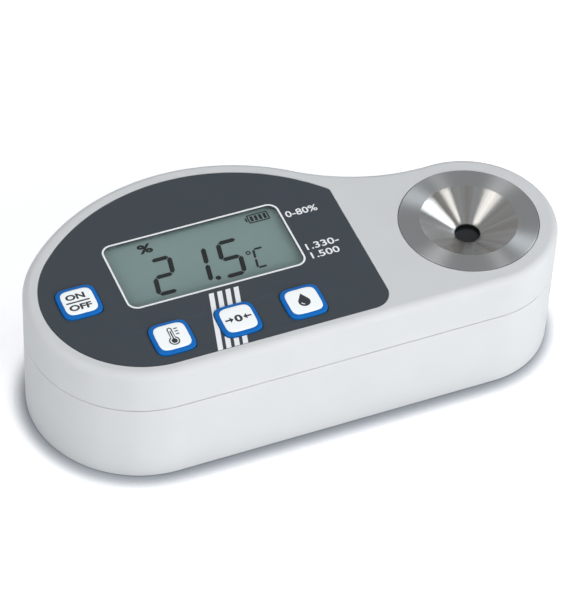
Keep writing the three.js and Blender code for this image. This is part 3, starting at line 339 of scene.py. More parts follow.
# %% Make plates from outlines
def from_curve(name, curve, matrix):
    drawn = link(bpy.data.objects.new(name, curve))
    mesh = evaluated_mesh(drawn, name)
    bpy.data.objects.remove(drawn)
    bpy.data.curves.remove(curve)
    bm = bmesh.new()
    bm.from_mesh(mesh)
    bmesh.ops.remove_doubles(bm, verts=bm.verts, dist=1e-7)
    bmesh.ops.recalc_face_normals(bm, faces=bm.faces)
    bm.transform(matrix)
    bm.to_mesh(mesh)
    bm.free()
    mesh.materials.clear()
    return link(bpy.data.objects.new(name, mesh))


def plate(name, outlines, bottom, top, bevel=0.0):
    curve = bpy.data.curves.new(name, "CURVE")
    curve.dimensions = "2D"
    curve.fill_mode = "BOTH"
    curve.extrude = ((top - bottom) / 2 - bevel) * MM
    curve.bevel_depth = bevel * MM
    curve.bevel_resolution = 2
    curve.offset = -bevel * MM
    for outline in outlines:
        spline = curve.splines.new("POLY")
        spline.points.add(len(outline) - 1)
        for point, at in zip(spline.points, outline):
            point.co = (at[0] * MM, at[1] * MM, 0, 1)
        spline.use_cyclic_u = True
    return from_curve(name, curve, Matrix.Translation((0, 0, (bottom + top) / 2 * MM)))


def joined(name, objects):
    bm = bmesh.new()
    for obj in objects:
        bm.from_mesh(obj.data)
        bpy.data.objects.remove(obj)
    mesh = bpy.data.meshes.new(name)
    bm.to_mesh(mesh)
    bm.free()
    return link(bpy.data.objects.new(name, mesh))


print("curves left over:", len(bpy.data.curves))

# %% Draw figures and words
CAP_SHARE = 0.72


def lettering(name, text, at, height, bottom, thickness, wide=1.0, align="LEFT", bold=0.02):
    """Generic figures and words, such as numbers, drawn in Blender's own plain letters."""
    curve = bpy.data.curves.new(name, "FONT")
    curve.body = text
    curve.size = height / CAP_SHARE * MM
    curve.extrude = thickness / 2 * MM
    curve.offset = bold * height * MM
    curve.align_x = align
    curve.resolution_u = 4
    place = Matrix.Translation((at[0] * MM, at[1] * MM, (bottom + thickness / 2) * MM))
    return from_curve(name, curve, place @ Matrix.Diagonal((wide, 1, 1, 1)))


print("capitals fill", CAP_SHARE, "of a letter's size")

# %% [markdown]
# ## Finishes
# Most finishes share one recipe: a base shader, a fine grain up to two hundredths of a
# millimetre deep, and two slow clouds that shift the roughness and darken the colour a little,
# as handling and moulding do on real plastic. The grain reads the piece's own coordinates in
# metres, so a scale of 4000 means about four grains in a millimetre.

# %% Add nodes to a tree
def srgb(red, green, blue):
    """A colour as a paint program writes it, up to 255, in the linear values of a shader."""
    shares = [c / 255 for c in (red, green, blue)]
    return tuple(s / 12.92 if s <= 0.04045 else ((s + 0.055) / 1.055) ** 2.4 for s in shares) + (1.0,)


def feed(tree, node, values):
    """Sets inputs of a node, and links those whose value is the output of another node."""
    for name, value in values.items():
        if isinstance(value, bpy.types.NodeSocket):
            tree.links.new(value, node.inputs[name])
        else:
            node.inputs[name].default_value = value


def add(tree, kind, values, **settings):
    """Adds a node, whose kind is named without its tree's prefix, and returns its outputs."""
    node = tree.nodes.new(tree.bl_idname.replace("Tree", kind))
    for name, value in settings.items():
        setattr(node, name, value)
    feed(tree, node, values)
    return node.outputs


def calculated(tree, operation, *terms):
    return add(tree, "Math", dict(enumerate(terms)), operation=operation)["Value"]


def ranged(tree, value, start, end, low, high, kind="LINEAR"):
    """Turns a range from start to end into one from low to high."""
    ends = {"Value": value, "From Min": start, "From Max": end, "To Min": low, "To Max": high}
    return add(tree, "MapRange", ends, interpolation_type=kind)["Result"]


def blended(tree, share, first, second):
    return add(tree, "Mix", {"Factor": share, "A": first, "B": second}, data_type="RGBA")["Result"]


def cloud(tree, where, scale, low, high, detail=3):
    """A noise that runs from a low value to a high one."""
    noise = add(tree, "TexNoise", {"Vector": where, "Scale": scale, "Detail": detail})["Fac"]
    return ranged(tree, noise, 0.3, 0.7, low, high)


print("light grey in linear values:", srgb(207, 209, 211))

# %% Make the moulded and painted finishes
def start_material(name):
    """A material, its tree, its shader, and the coordinates that its patterns read."""
    material = bpy.data.materials.new(name)
    material.use_nodes = True
    tree = material.node_tree
    return material, tree, tree.nodes["Principled BSDF"], add(tree, "TexCoord", {})["Object"]


def moulded(
    name, colour, roughness, grain=4000, depth=0.012, strength=0.25, uneven=0.06, tint=0.03,
    metallic=0.0, shine=0.5, pattern=None, pattern_colour=None,
):
    material, tree, shader, where = start_material(name)
    fine = add(tree, "TexNoise", {"Vector": where, "Scale": grain, "Detail": 2})["Fac"]
    bump = add(tree, "Bump", {"Height": fine, "Strength": strength, "Distance": depth * MM})["Normal"]
    base = srgb(*colour)
    darker = tuple(c * (1 - tint) for c in base[:3]) + (1.0,)
    shown = blended(tree, cloud(tree, where, 90, 0, 1), base, darker)
    if pattern:
        shown = blended(tree, pattern(tree, where), shown, srgb(*pattern_colour))
    rough = cloud(tree, where, 60, roughness - uneven, roughness + uneven)
    feed(tree, shader, {"Base Color": shown, "Roughness": rough, "Normal": bump})
    feed(tree, shader, {"Metallic": metallic, "Specular IOR Level": shine})
    return material


casing_plastic = moulded("casing_plastic", (207, 209, 211), 0.5, grain=3600, depth=0.02, strength=0.22)
overlay_film = moulded("overlay_film", (62, 69, 76), 0.5, 9000, 0.006, 0.2, tint=0.05, shine=0.35)
white_print = moulded("white_print", (238, 240, 243), 0.5, 9000, 0.004, 0.15)
key_white = moulded("key_white", (250, 254, 255), 0.38, 5200, 0.006, 0.15, tint=0.015)
key_blue = moulded("key_blue", (0, 104, 188), 0.36, 5200, 0.006, 0.15, tint=0.06, shine=0.3)
key_ink = moulded("key_ink", (52, 55, 62), 0.5, 9000, 0.003, 0.1, tint=0.08)
black_plastic = moulded("black_plastic", (28, 29, 31), 0.55, 2500, 0.015, 0.3, tint=0.15)
seal_rubber = moulded("seal_rubber", (38, 39, 41), 0.75, 1800, 0.02, 0.4, tint=0.2)
print("moulded finishes:", len(bpy.data.materials))

# %% [markdown]
# ## Steel, glass and the display
# The well is turned stainless steel. A lathe leaves fine rings, and such rings stretch every highlight
# across them, which gives the bow-tie gleam of the flat ring and part of the cone's streaking. So the
# steel is anisotropic, its direction follows the UV map round the axis, and its rings come from a noise
# that only reads the distance from the axis. Inside the cone's mouth a noise that only reads the direction
# paints reflection into the colour as darker, warmer streaking that runs down to the hole.

# %% Make the metals
def turned_steel(name, at, mouth):
    """Finely turned outside the cone's mouth; inside it smoother and brighter, and streaked down the cone
    by painted reflection in its colour.
    """
    material, tree, shader, where = start_material(name)
    centred = add(tree, "Mapping", {"Vector": where, "Location": (-at.x * MM, -at.y * MM, 0)})["Vector"]
    flat = add(tree, "VectorMath", {0: centred, 1: (1, 1, 0)}, operation="MULTIPLY")["Vector"]
    distance = add(tree, "VectorMath", {0: flat}, operation="LENGTH")["Value"]
    direction = add(tree, "VectorMath", {0: flat}, operation="NORMALIZE")["Vector"]
    fine = {"W": distance, "Scale": 7000, "Detail": 2}
    rings = add(tree, "TexNoise", fine, noise_dimensions="1D")["Fac"]
    inside = ranged(tree, distance, (mouth - 0.05) * MM, mouth * MM, 1, 0)
    # Painted reflection: darker, warmer streaking down the cone, laid into the colour by direction.
    painted_reflection_streaks = calculated(tree, "MULTIPLY", cloud(tree, direction, 4, 0, 1, detail=2), inside)
    cone_roughness = cloud(tree, direction, 6, 0.205, 0.235, detail=1)
    feed(tree, shader, {
        "Base Color": blended(tree, painted_reflection_streaks, srgb(214, 217, 219), srgb(184, 180, 174)),
        "Roughness": add(tree, "Mix", {"Factor": inside, "A": 0.4, "B": cone_roughness})["Result"],
        "Normal": add(tree, "Bump", {"Height": rings, "Strength": 0.12, "Distance": 0.002 * MM})["Normal"],
        "Tangent": add(tree, "Tangent", {}, direction_type="UV_MAP", uv_map="UVMap")["Tangent"],
        "Metallic": 1.0, "Anisotropic": 1.0, "Anisotropic Rotation": 0.25,
    })
    return material


MOUTH_RADIUS = 11
well_steel = turned_steel("well_steel", well, MOUTH_RADIUS)
bare_metal = {"grain": 900, "depth": 0.004, "strength": 0.2, "uneven": 0.08, "tint": 0.12, "metallic": 1.0}
plated_steel = moulded("plated_steel", (190, 192, 196), 0.32, **bare_metal)
spring_brass = moulded("spring_brass", (208, 178, 106), 0.3, **bare_metal)
print("metals:", well_steel.name, plated_steel.name, spring_brass.name)

# %% [markdown]
# Glass that bends light would leave its inside dark, because the light that comes through it
# is hard to find for a path tracer. So the glass is clear to shadow rays, to soft light and to
# mirrored light, and it only bends and mirrors what the eye looks at.

# %% Make the clear materials and the display's
def clear(name, tint, roughness, ior, shine=0.5):
    material, tree, shader, where = start_material(name)
    rough = cloud(tree, where, 120, roughness * 0.5, roughness * 1.5)
    feed(tree, shader, {"Base Color": srgb(*tint), "Roughness": rough, "IOR": ior})
    feed(tree, shader, {"Transmission Weight": 1.0, "Specular IOR Level": shine})
    rays = add(tree, "LightPath", {})
    passing = calculated(tree, "MAXIMUM", rays["Is Shadow Ray"], rays["Is Diffuse Ray"])
    passing = calculated(tree, "MAXIMUM", passing, rays["Is Glossy Ray"])
    through = add(tree, "BsdfTransparent", {"Color": srgb(*tint)})["BSDF"]
    mix = add(tree, "MixShader", {"Fac": passing, 1: shader.outputs["BSDF"], 2: through})["Shader"]
    feed(tree, tree.nodes["Material Output"], {"Surface": mix})
    return material


window_clear = clear("window_clear", (244, 248, 248), 0.004, 1.49, shine=0.3)
optical_glass = clear("optical_glass", (236, 244, 242), 0.01, 1.62)
# Painted shade: the prism is clear glass, and this dark finish stands in for the instrument's dark inside
# seen through it.
dark_prism = moulded("dark_prism", (30, 34, 36), 0.1, 900, 0.001, 0.05, uneven=0.03, tint=0.2)
display_grey = moulded("display_grey", (144, 159, 158), 0.42, 7000, 0.004, 0.2, tint=0.04)
segment_ink = moulded("segment_ink", (8, 9, 14), 0.4, 9000, 0.002, 0.1, tint=0.1)
lamp_epoxy = moulded("lamp_epoxy", (232, 194, 100), 0.15, 600, 0.004, 0.1, tint=0.1)
print("clear materials:", window_clear.name, optical_glass.name)

# %% [markdown]
# The board, the flat cable, the cell's jacket and the display's rubber strips have patterns that
# follow their make: copper tracks under a green mask, ten conductors side by side, a printed
# band round the cell, and thin layers, every second one of which conducts. Each pattern is laid
# over the moulded recipe as a second colour.

# %% Make the striped and tracked materials
def stripes_along(axis, spacing, share):
    """Stripes square to an axis, at a spacing in millimetres, of which they fill a share."""
    def pattern(tree, where):
        place = add(tree, "SeparateXYZ", {"Vector": where})[axis]
        turn = calculated(tree, "FRACT", calculated(tree, "DIVIDE", place, spacing * MM))
        return calculated(tree, "LESS_THAN", turn, share)
    return pattern


def tracks(tree, where):
    """Narrow lines between cells with straight sides."""
    values = {"Vector": where, "Scale": 420, "Randomness": 0.7}
    cells = add(tree, "TexVoronoi", values, distance="CHEBYCHEV", feature="DISTANCE_TO_EDGE")
    return calculated(tree, "LESS_THAN", cells["Distance"], 0.06)


def striped(name, colour, line_colour, roughness, axis, spacing, share):
    pattern = stripes_along(axis, spacing, share)
    return moulded(name, colour, roughness, pattern=pattern, pattern_colour=line_colour)


board_look = {"tint": 0.2, "pattern": tracks, "pattern_colour": (66, 132, 84)}
circuit_board = moulded("board_green", (28, 92, 58), 0.35, 1500, 0.01, 0.2, **board_look)
flat_cable = striped("flat_cable", (190, 124, 64), (226, 176, 110), 0.4, "Y", 0.7, 0.45)
cell_jacket = striped("cell_jacket", (62, 76, 88), (150, 158, 164), 0.35, "X", 40, 0.22)
layered_rubber = striped("layered_rubber", (196, 198, 196), (40, 41, 44), 0.7, "X", 0.5, 0.5)
print("patterned materials:", circuit_board.name, flat_cable.name, cell_jacket.name)

# %% [markdown]
# ## The upper housing
# It is one injection-moulded shell: a flat deck with a rounded edge, walls down to the parting
# line, a locating lip inside them and bosses for the screws. A stack of outlines gives the
# outside, and cuts open the places of the overlay, the window, the keys and the well.

# %% Heights inside the casing
BARREL_DEPTH, FLANGE_DEPTH, CONE_DEPTH, THROAT_DEPTH = 6.2, 1.4, 4.2, 0.4
BOARD_THICKNESS, DECK_THICKNESS, GASKET_HEIGHT, PAD_DEPTH, BOSS_DEPTH = 1.6, 2, 0.8, 1.8, 5

board_bottom = BOARD_TOP - BOARD_THICKNESS
barrel_bottom = well_top - BARREL_DEPTH
deck_top = barrel_bottom - SEAT_GAP
deck_bottom = deck_top - DECK_THICKNESS
flange_bottom = well_top - FLANGE_DEPTH
throat_top = well_top - CONE_DEPTH
pocket_top = throat_top - THROAT_DEPTH
gasket_floor = flange_bottom - GASKET_HEIGHT - 2 * SEAT_GAP
lip_bottom = PARTING_HEIGHT - LIP_DEPTH
boss_bottom = PARTING_HEIGHT - BOSS_DEPTH
print("the optics hang %.2f mm above the table" % deck_bottom)

# %% Places of the screws
CASE_HEAD, CASE_HEAD_HEIGHT, CASE_SHANK, CASE_SCREW_LENGTH, CASE_SCREW_SINK = 2.3, 1.6, 1.25, 13, 7
SMALL_HEAD, SMALL_HEAD_HEIGHT, SMALL_SHANK, SMALL_SCREW_LENGTH = 1.9, 1.3, 0.9, 4
BOSS_RADIUS, POST_RADIUS, BOSS_FROM_WALL = 3.3, 2.2, 0.4
LCD_EDGE, FRAME_EDGE, STRIP_ROOM = 1.6, 2.9, 3.6
boss_inset = WALL + BOSS_FROM_WALL + BOSS_RADIUS


def round_place(centre, radius, degrees):
    return around(centre, radius, [math.radians(degrees)])[0]


belly_screw = round_place(belly, belly_radius - boss_inset, 47)
front_screw = Vector((belly_screw.x, boss_inset + BOSS_RADIUS / 2 - CASE_WIDTH / 2))
case_screws = [round_place(left, left_radius - boss_inset, a) for a in (135, 232)]
case_screws += [belly_screw, front_screw]
case_screws += [round_place(well, nose_radius - boss_inset, a) for a in (55, -55)]
optics_screws = [round_place(well, nose_radius - boss_inset, a) for a in (0, 110, 250)]
lcd_length, lcd_width = WINDOW_LENGTH + LCD_EDGE, WINDOW_WIDTH + LCD_EDGE
reach = (lcd_length + FRAME_EDGE) / 2 + LOOSE_GAP + POST_RADIUS
front_row = -(lcd_width + STRIP_ROOM + FRAME_EDGE) / 2
back_row = LOOSE_GAP + POST_RADIUS - front_row
pairs = ((reach, front_row), (reach / 2, back_row))
board_screws = [Vector((window.x + side * x, window.y + y)) for x, y in pairs for side in (-1, 1)]
print("screws:", len(case_screws), "case,", len(board_screws), "board,", len(optics_screws), "optics")

# %% Mould the lip, the seat of the well and the openings
def lip_and_pad(roof):
    """The lip stands inside the lower shell's wall, and the pad carries the well's flange."""
    lip = prism(case_plan(WALL - LIP_THICKNESS), lip_bottom, PARTING_HEIGHT + 1)
    inside = prism(case_plan(WALL), lip_bottom - 1, PARTING_HEIGHT + 2)
    pad = cylinder(well, nose_radius - WALL / 2, gasket_floor - PAD_DEPTH, roof, 160)
    in_walls = prism(case_plan(WALL / 2), gasket_floor - PAD_DEPTH - 1, roof + 1)
    return [worked(lip, "lip", ("DIFFERENCE", [inside])), worked(pad, "pad", ("INTERSECT", [in_walls]))]


PANE_EDGE, BARREL_RADIUS, GASKET_INSIDE, GASKET_OUTSIDE = 1.8, 10.5, 13, 14.1
key_hole_size = KEY_SIZE + 2 * FIT_GAP


def openings(above):
    """What is cut out for the overlay, the window, the display, the well, its gasket and the keys."""
    pane_grow = 2 * (PANE_EDGE + FIT_GAP)
    pane = rounded_rectangle(window, WINDOW_LENGTH + pane_grow, WINDOW_WIDTH + pane_grow, WINDOW_CORNER)
    groove = [(GASKET_INSIDE, gasket_floor), (GASKET_OUTSIDE, gasket_floor)]
    groove += [(GASKET_OUTSIDE, above), (GASKET_INSIDE, above)]
    return [
        prism(overlay_plan(FIT_GAP), overlay_floor, above),
        prism(pane, pane_bottom - SEAT_GAP, above),
        block(window, lcd_length + 2 * FIT_GAP, lcd_width + 2 * FIT_GAP, ceiling - 1, above),
        cylinder(well, WELL_RADIUS + FIT_GAP, flange_bottom - SEAT_GAP, above, 192),
        cylinder(well, BARREL_RADIUS + FIT_GAP, boss_bottom - 1, above, 128),
        turned("tool", groove, 128, well),
    ] + [prism(squircle(at, key_hole_size), ceiling - 1, above) for at in key_places.values()]


print("a key's hole measures %.1f mm" % key_hole_size)

# %% Mould the upper housing
def bosses_and_holes(roof):
    """A boss for each screw, and a blind hole in it that leaves the screw's end its clearance."""
    tip = CASE_SCREW_SINK + CASE_SCREW_LENGTH + LOOSE_GAP
    bosses = [cylinder(at, BOSS_RADIUS, boss_bottom, roof, 48) for at in case_screws]
    holes = [cylinder(at, CASE_SHANK + FIT_GAP, boss_bottom - 1, tip, 32) for at in case_screws]
    boards = ((board_screws, BOARD_TOP, board_bottom), (optics_screws, deck_top, deck_bottom))
    for places, held_top, held_bottom in boards:
        tip = held_bottom - SEAT_GAP + SMALL_SCREW_LENGTH + LOOSE_GAP
        bosses += [cylinder(at, POST_RADIUS, held_top + SEAT_GAP, roof, 32) for at in places]
        holes += [cylinder(at, SMALL_SHANK + FIT_GAP, held_top - 1, tip, 24) for at in places]
    return bosses, holes


def upper_housing():
    low = PARTING_HEIGHT + PARTING_GAP / 2
    rings = [(case_plan(EDGE_BREAK), low), (case_plan(0), low + EDGE_BREAK)]
    rings += [(case_plan(TOP_FILLET * a), CASE_HEIGHT - TOP_FILLET * b) for a, b in quarter_round(12)]
    shell = stack("shell", rings)
    roof = ceiling + TOP_WALL / 4
    bosses, holes = bosses_and_holes(roof)
    hollow = ("DIFFERENCE", [prism(case_plan(WALL), PARTING_HEIGHT - 1, ceiling)])
    joins = ("UNION", lip_and_pad(roof) + bosses)
    cuts = ("DIFFERENCE", openings(CASE_HEIGHT + 1) + holes)
    return smoothed(worked(shell, "upper_shell", hollow, joins, cuts))


piece(upper_housing(), casing_plastic, "casing", ["upper_housing"])

# %% [markdown]
# ## The lower housing
# The lower shell is a tray. Its walls stop a hair below the upper shell, which leaves the fine
# dark line round the casing. Inside are the columns that the long screws pass through, and the
# battery's bay, whose mouth is in the floor.

# %% Places of the battery bay
CELL_LENGTH, CELL_RADIUS, SPRING_LENGTH, CONTACT_THICKNESS, CONTACT_TAB = 44.5, 5.25, 4, 0.5, 6
BAY_FROM_LEFT, BAY_FROM_FRONT, BAY_WALL = 16.85, 24, 1.5
COVER_TOP, COVER_SEAL, COVER_EDGE, COIN_BOSS, COIN_BORE = 1.7, 0.5, 3, 4, 1.75

cover_seat = COVER_TOP + COVER_SEAL + 2 * SEAT_GAP
cell_centre = cover_seat + LOOSE_GAP + CELL_RADIUS
bay_top = cell_centre + CELL_RADIUS + LOOSE_GAP
contact_inset = FIT_GAP + CONTACT_THICKNESS / 2
bay_length = CELL_LENGTH + SPRING_LENGTH + 2 * (FIT_GAP + CONTACT_THICKNESS) + 3 * LOOSE_GAP
bay_width = 2 * (CELL_RADIUS + LOOSE_GAP)
bay_left = BAY_FROM_LEFT - CASE_LENGTH / 2
bay = Vector((bay_left + bay_length / 2, BAY_FROM_FRONT - CASE_WIDTH / 2))
coin = Vector((bay_left + bay_length + BAY_WALL / 2 + COIN_BOSS, bay.y))
cover_left, cover_right = bay_left - COVER_EDGE, coin.x + COIN_BOSS + BAY_WALL
cover = Vector(((cover_left + cover_right) / 2, bay.y))
cover_length, cover_width = cover_right - cover_left, bay_width + 2 * COVER_EDGE
contact_plus, contact_minus = bay_left + contact_inset, bay_left + bay_length - contact_inset
print("battery bay %.1f x %.1f mm" % (bay_length, bay_width))

# %% Mould the lower housing
COLUMN_RADIUS, COIN_BOSS_TOP = 4.1, 9


def bay_cuts():
    """The cover's seat, the cell's room, the slots of the contacts and the coin screw's hole."""
    mouth_length, mouth_width = cover_length + 2 * FIT_GAP, cover_width + 2 * FIT_GAP
    mouth = rounded_rectangle(cover, mouth_length, mouth_width, COVER_EDGE + FIT_GAP)
    slot_length, slot_width = CONTACT_THICKNESS + 2 * FIT_GAP, CONTACT_TAB + 2 * FIT_GAP
    above = bay_top + BAY_WALL + 1
    cuts = [prism(mouth, -1, cover_seat), block(bay, bay_length, bay_width, -1, bay_top)]
    for x in (contact_plus, contact_minus):
        cuts.append(block((x, bay.y), slot_length, slot_width, bay_top - 1, above))
    return cuts + [cylinder(coin, COIN_BORE, -1, cover_seat + 6, 48)]


def lower_housing():
    high = PARTING_HEIGHT - PARTING_GAP / 2
    rings = [(case_plan(BASE_FILLET * b), BASE_FILLET * a) for a, b in quarter_round(6)]
    rings += [(case_plan(0), high - EDGE_BREAK), (case_plan(EDGE_BREAK), high)]
    column_top = boss_bottom - SEAT_GAP
    in_floor = FLOOR_WALL / 2
    joins = [cylinder(at, COLUMN_RADIUS, in_floor, column_top, 48) for at in case_screws]
    walls = 2 * BAY_WALL
    joins += [block(bay, bay_length + walls, bay_width + walls, in_floor, bay_top + BAY_WALL)]
    joins += [cylinder(coin, COIN_BOSS, in_floor, COIN_BOSS_TOP, 48)]
    cuts = bay_cuts()
    cuts += [cylinder(at, CASE_HEAD + LOOSE_GAP, -1, CASE_SCREW_SINK, 48) for at in case_screws]
    cuts += [cylinder(at, CASE_SHANK + FIT_GAP, -1, column_top + 1, 32) for at in case_screws]
    seal_step = lip_bottom - 2 * SEAT_GAP - SEAL_HEIGHT
    hollows = [
        prism(case_plan(WALL), FLOOR_WALL, PARTING_HEIGHT + 1),
        prism(case_plan(WALL - LIP_THICKNESS - FIT_GAP), seal_step, PARTING_HEIGHT + 1),
    ]
    rounds = ("DIFFERENCE", hollows), ("UNION", joins), ("DIFFERENCE", cuts)
    return smoothed(worked(stack("tray", rings), "lower_shell", *rounds))


piece(lower_housing(), casing_plastic, "casing", ["lower_housing"])

# %% [markdown]
# ## The battery cover and its screw
# The cover lies in the floor, two tenths of a millimetre clear of the table, and is held by one
# captive screw with a slot for a coin. A rib on its inside keeps the cell in place.

# %% Make the battery cover
COVER_LIFT, IN_COVER, COVER_BOSS, COIN_HEAD, HEAD_ROOM = 0.2, 1, 2.8, 3.4, 1.25


def battery_cover():
    def outline(inset):
        corner = COVER_EDGE - inset
        step = 0.25 * corner / COVER_EDGE
        return rounded_rectangle(cover, cover_length - 2 * inset, cover_width - 2 * inset, corner, step)

    levels = [(0.25, COVER_LIFT), (0.07, COVER_LIFT + 0.07), (0, COVER_LIFT + 0.25), (0, COVER_TOP)]
    body = stack("body", [(outline(inset), z) for inset, z in levels])
    boss = cylinder(coin, COVER_BOSS, IN_COVER, cover_seat - SEAT_GAP, 48)
    rib = block(bay, bay_length - 2 * LOOSE_GAP, bay_width / 2, IN_COVER, cover_seat)
    head_room = cylinder(coin, COIN_HEAD + FIT_GAP, -1, HEAD_ROOM, 64)
    bore = cylinder(coin, COIN_BORE, -1, cover_seat + 1, 48)
    return smoothed(worked(body, "bay_cover", ("UNION", [boss, rib]), ("DIFFERENCE", [head_room, bore])))


piece(battery_cover(), casing_plastic, "cover", ["battery_cover"])

# %% Turn the coin screw
def thread(radius, depth, pitch, start, end):
    """Radius and height pairs up a shank, with a groove at each turn of its thread."""
    turns = int((end - start) / pitch)
    pairs = []
    for i in range(turns):
        z = start + i * pitch
        pairs += [(radius - depth, z), (radius, z + 0.4 * pitch), (radius, z + 0.6 * pitch)]
    return pairs + [(radius - depth, start + turns * pitch), (radius - 2 * depth, end)]


def coin_screw():
    neck, tip, slot_width, slot_length, slot_end = 1.2, 6.2, 1, 12, 0.7
    head = [(0, COVER_LIFT), (COIN_HEAD - 0.3, COVER_LIFT), (COIN_HEAD - 0.1, COVER_LIFT + 0.06)]
    head += [(COIN_HEAD, COVER_LIFT + 0.25), (COIN_HEAD, neck - 0.1), (COIN_HEAD - 0.1, neck)]
    shank = thread(radius=1.6, depth=0.22, pitch=0.7, start=neck, end=tip)
    body = turned("body", head + shank + [(0, tip)], 64, coin)
    slot = block(coin, slot_width, slot_length, -1, slot_end)
    return smoothed(worked(body, "coin_screw", ("DIFFERENCE", [slot])), 40)


piece(coin_screw(), plated_steel, "cover_screw", ["battery_cover_screw"])

# %% [markdown]
# ## Screws
# Thirteen screws of two sizes hold the instrument together, all driven upwards. For each group
# one screw is turned and gets its cross recess by a cut. Geometry Nodes then put a copy at each
# point of a small mesh that holds nothing but the places.

# %% Start, close and run a tree
def new_tree(name, inputs):
    """A tree with named inputs besides its geometry and its material, and those inputs."""
    tree = bpy.data.node_groups.new(name, "GeometryNodeTree")
    for label, kind in {"Geometry": "Geometry", **inputs, "Finish": "Material"}.items():
        tree.interface.new_socket(name=label, in_out="INPUT", socket_type="NodeSocket" + kind)
    tree.interface.new_socket(name="Geometry", in_out="OUTPUT", socket_type="NodeSocketGeometry")
    return tree, tree.nodes.new("NodeGroupInput").outputs


def close_tree(tree, shape, given):
    """Every tree ends with plain geometry that carries its material."""
    real = add(tree, "RealizeInstances", {"Geometry": shape})["Geometry"]
    finished = add(tree, "SetMaterial", {"Geometry": real, "Material": given["Finish"]})["Geometry"]
    feed(tree, tree.nodes.new("NodeGroupOutput"), {"Geometry": finished})
    return tree


def repeated(tree, given, template, points):
    """A copy of an object at each point, as the end of its tree."""
    copy = add(tree, "ObjectInfo", {"Object": given[template]})["Geometry"]
    placed = add(tree, "InstanceOnPoints", {"Points": points, "Instance": copy})["Instances"]
    return close_tree(tree, placed, given)


def grown(name, base_mesh, tree, values):
    """Runs a tree on a mesh with its named inputs and returns the result as a plain object."""
    carrier = link(bpy.data.objects.new(name, base_mesh))
    modifier = carrier.modifiers.new(name, "NODES")
    modifier.node_group = tree
    for item in tree.interface.items_tree:
        if item.in_out == "INPUT" and item.name in values:
            modifier[item.identifier] = values[item.name]
    mesh = evaluated_mesh(carrier, name)
    bpy.data.objects.remove(carrier)
    return link(bpy.data.objects.new(name, mesh))


fasteners, given = new_tree("fasteners_at_points", {"Fastener": "Object"})
repeated(fasteners, given, "Fastener", given["Geometry"])
print("nodes in the tree of the screws:", len(fasteners.nodes))

# %% Turn the screws and put them in place
def screw_template(head, head_height, shank, length):
    """A pan-head screw driven upwards, the top of its head at height zero."""
    profile = [(0, -head_height), (head * 0.7, -head_height)]
    profile += [(head * (1 - 0.3 * b), -head_height * (1 - 0.55 * a)) for a, b in quarter_round(6)[1:]]
    profile += [(head, 0)] + thread(shank, depth=0.15 * shank, pitch=0.5, start=0, end=length)
    body = turned("body", profile + [(0, length)], 48)
    half = -head_height / 2
    recess = [block((0, 0), *size, half - head_height, half) for size in ((0.5, head), (head, 0.5))]
    return smoothed(worked(body, "template", ("DIFFERENCE", recess)), 40)


def add_screws(name, places, height, *sizes):
    template = screw_template(*sizes)
    points = bpy.data.meshes.new("places")
    points.from_pydata([(p.x * MM, p.y * MM, height * MM) for p in places], [], [])
    screws = grown(name, points, fasteners, {"Fastener": template, "Finish": plated_steel})
    bpy.data.objects.remove(template)
    single = name[:-1]
    piece(screws, None, "casing", [f"{single}_{i + 1}" for i in range(len(places))])


small_screw = (SMALL_HEAD, SMALL_HEAD_HEIGHT, SMALL_SHANK, SMALL_SCREW_LENGTH)
case_screw = (CASE_HEAD, CASE_HEAD_HEIGHT, CASE_SHANK, CASE_SCREW_LENGTH)
add_screws("case_screws", case_screws, CASE_SCREW_SINK - SEAT_GAP, *case_screw)
add_screws("board_screws", board_screws, board_bottom - SEAT_GAP, *small_screw)
add_screws("optics_screws", optics_screws, deck_bottom - SEAT_GAP, *small_screw)

# %% [markdown]
# ## The keypad overlay
# A printed film lies in a shallow recess of the deck. It has an opening for the display and one
# for each key. It is a filled curve with holes, with a tiny bevel where the sheet was cut.

# %% Cut the overlay
def window_outline(grow=0.0):
    length, width = WINDOW_LENGTH + 2 * grow, WINDOW_WIDTH + 2 * grow
    return rounded_rectangle(window, length, width, WINDOW_CORNER + grow)


holes = [window_outline()] + [squircle(at, key_hole_size) for at in key_places.values()]
overlay = plate("keypad_film", [overlay_plan()] + holes, overlay_bottom, overlay_top, 0.03)
piece(smoothed(overlay), overlay_film, "casing", ["keypad_overlay"])

# %% [markdown]
# ## The print on the overlay
# A white line frames the display, plain figures stand at its right, and four slanted stripes
# run from the display to the front edge, behind the middle key. Each is a film of ink, here two
# hundredths of a millimetre thick. The stripes repeat at one pitch, so a tree makes them: one
# leaning bar, put at each point of a line. The key's hole is then cut out of them.

# %% Print the frame line and the figures
INK, FIGURE_HEIGHT = 0.02, 1.9
ink_bottom = overlay_top - INK / 2

frame_line = plate("frame_line", [window_outline(0.5), window_outline(0.06)], ink_bottom, ink_bottom + INK)
rows = (("0-80%", 21.6, 4.6, 1.15), ("1.330-", 21.5, -6.3, 1.25), ("1.500", 21.6, -9.1, 1.25))
figures = []
for text, x, y, wide in rows:
    place = (window.x + x, window.y + y)
    figures.append(lettering("figures", text, place, FIGURE_HEIGHT, ink_bottom, INK, wide))
print("groups of figures:", len(figures))

# %% Print the stripes
STRIPES, STRIPE_WIDTH, STRIPE_PITCH, STRIPE_LEAN = 4, 1.15, 1.92, 0.255
STRIPE_TOP, STRIPE_FRONT, STRIPE_FROM_WINDOW = -10.2, -26.49, -3.2

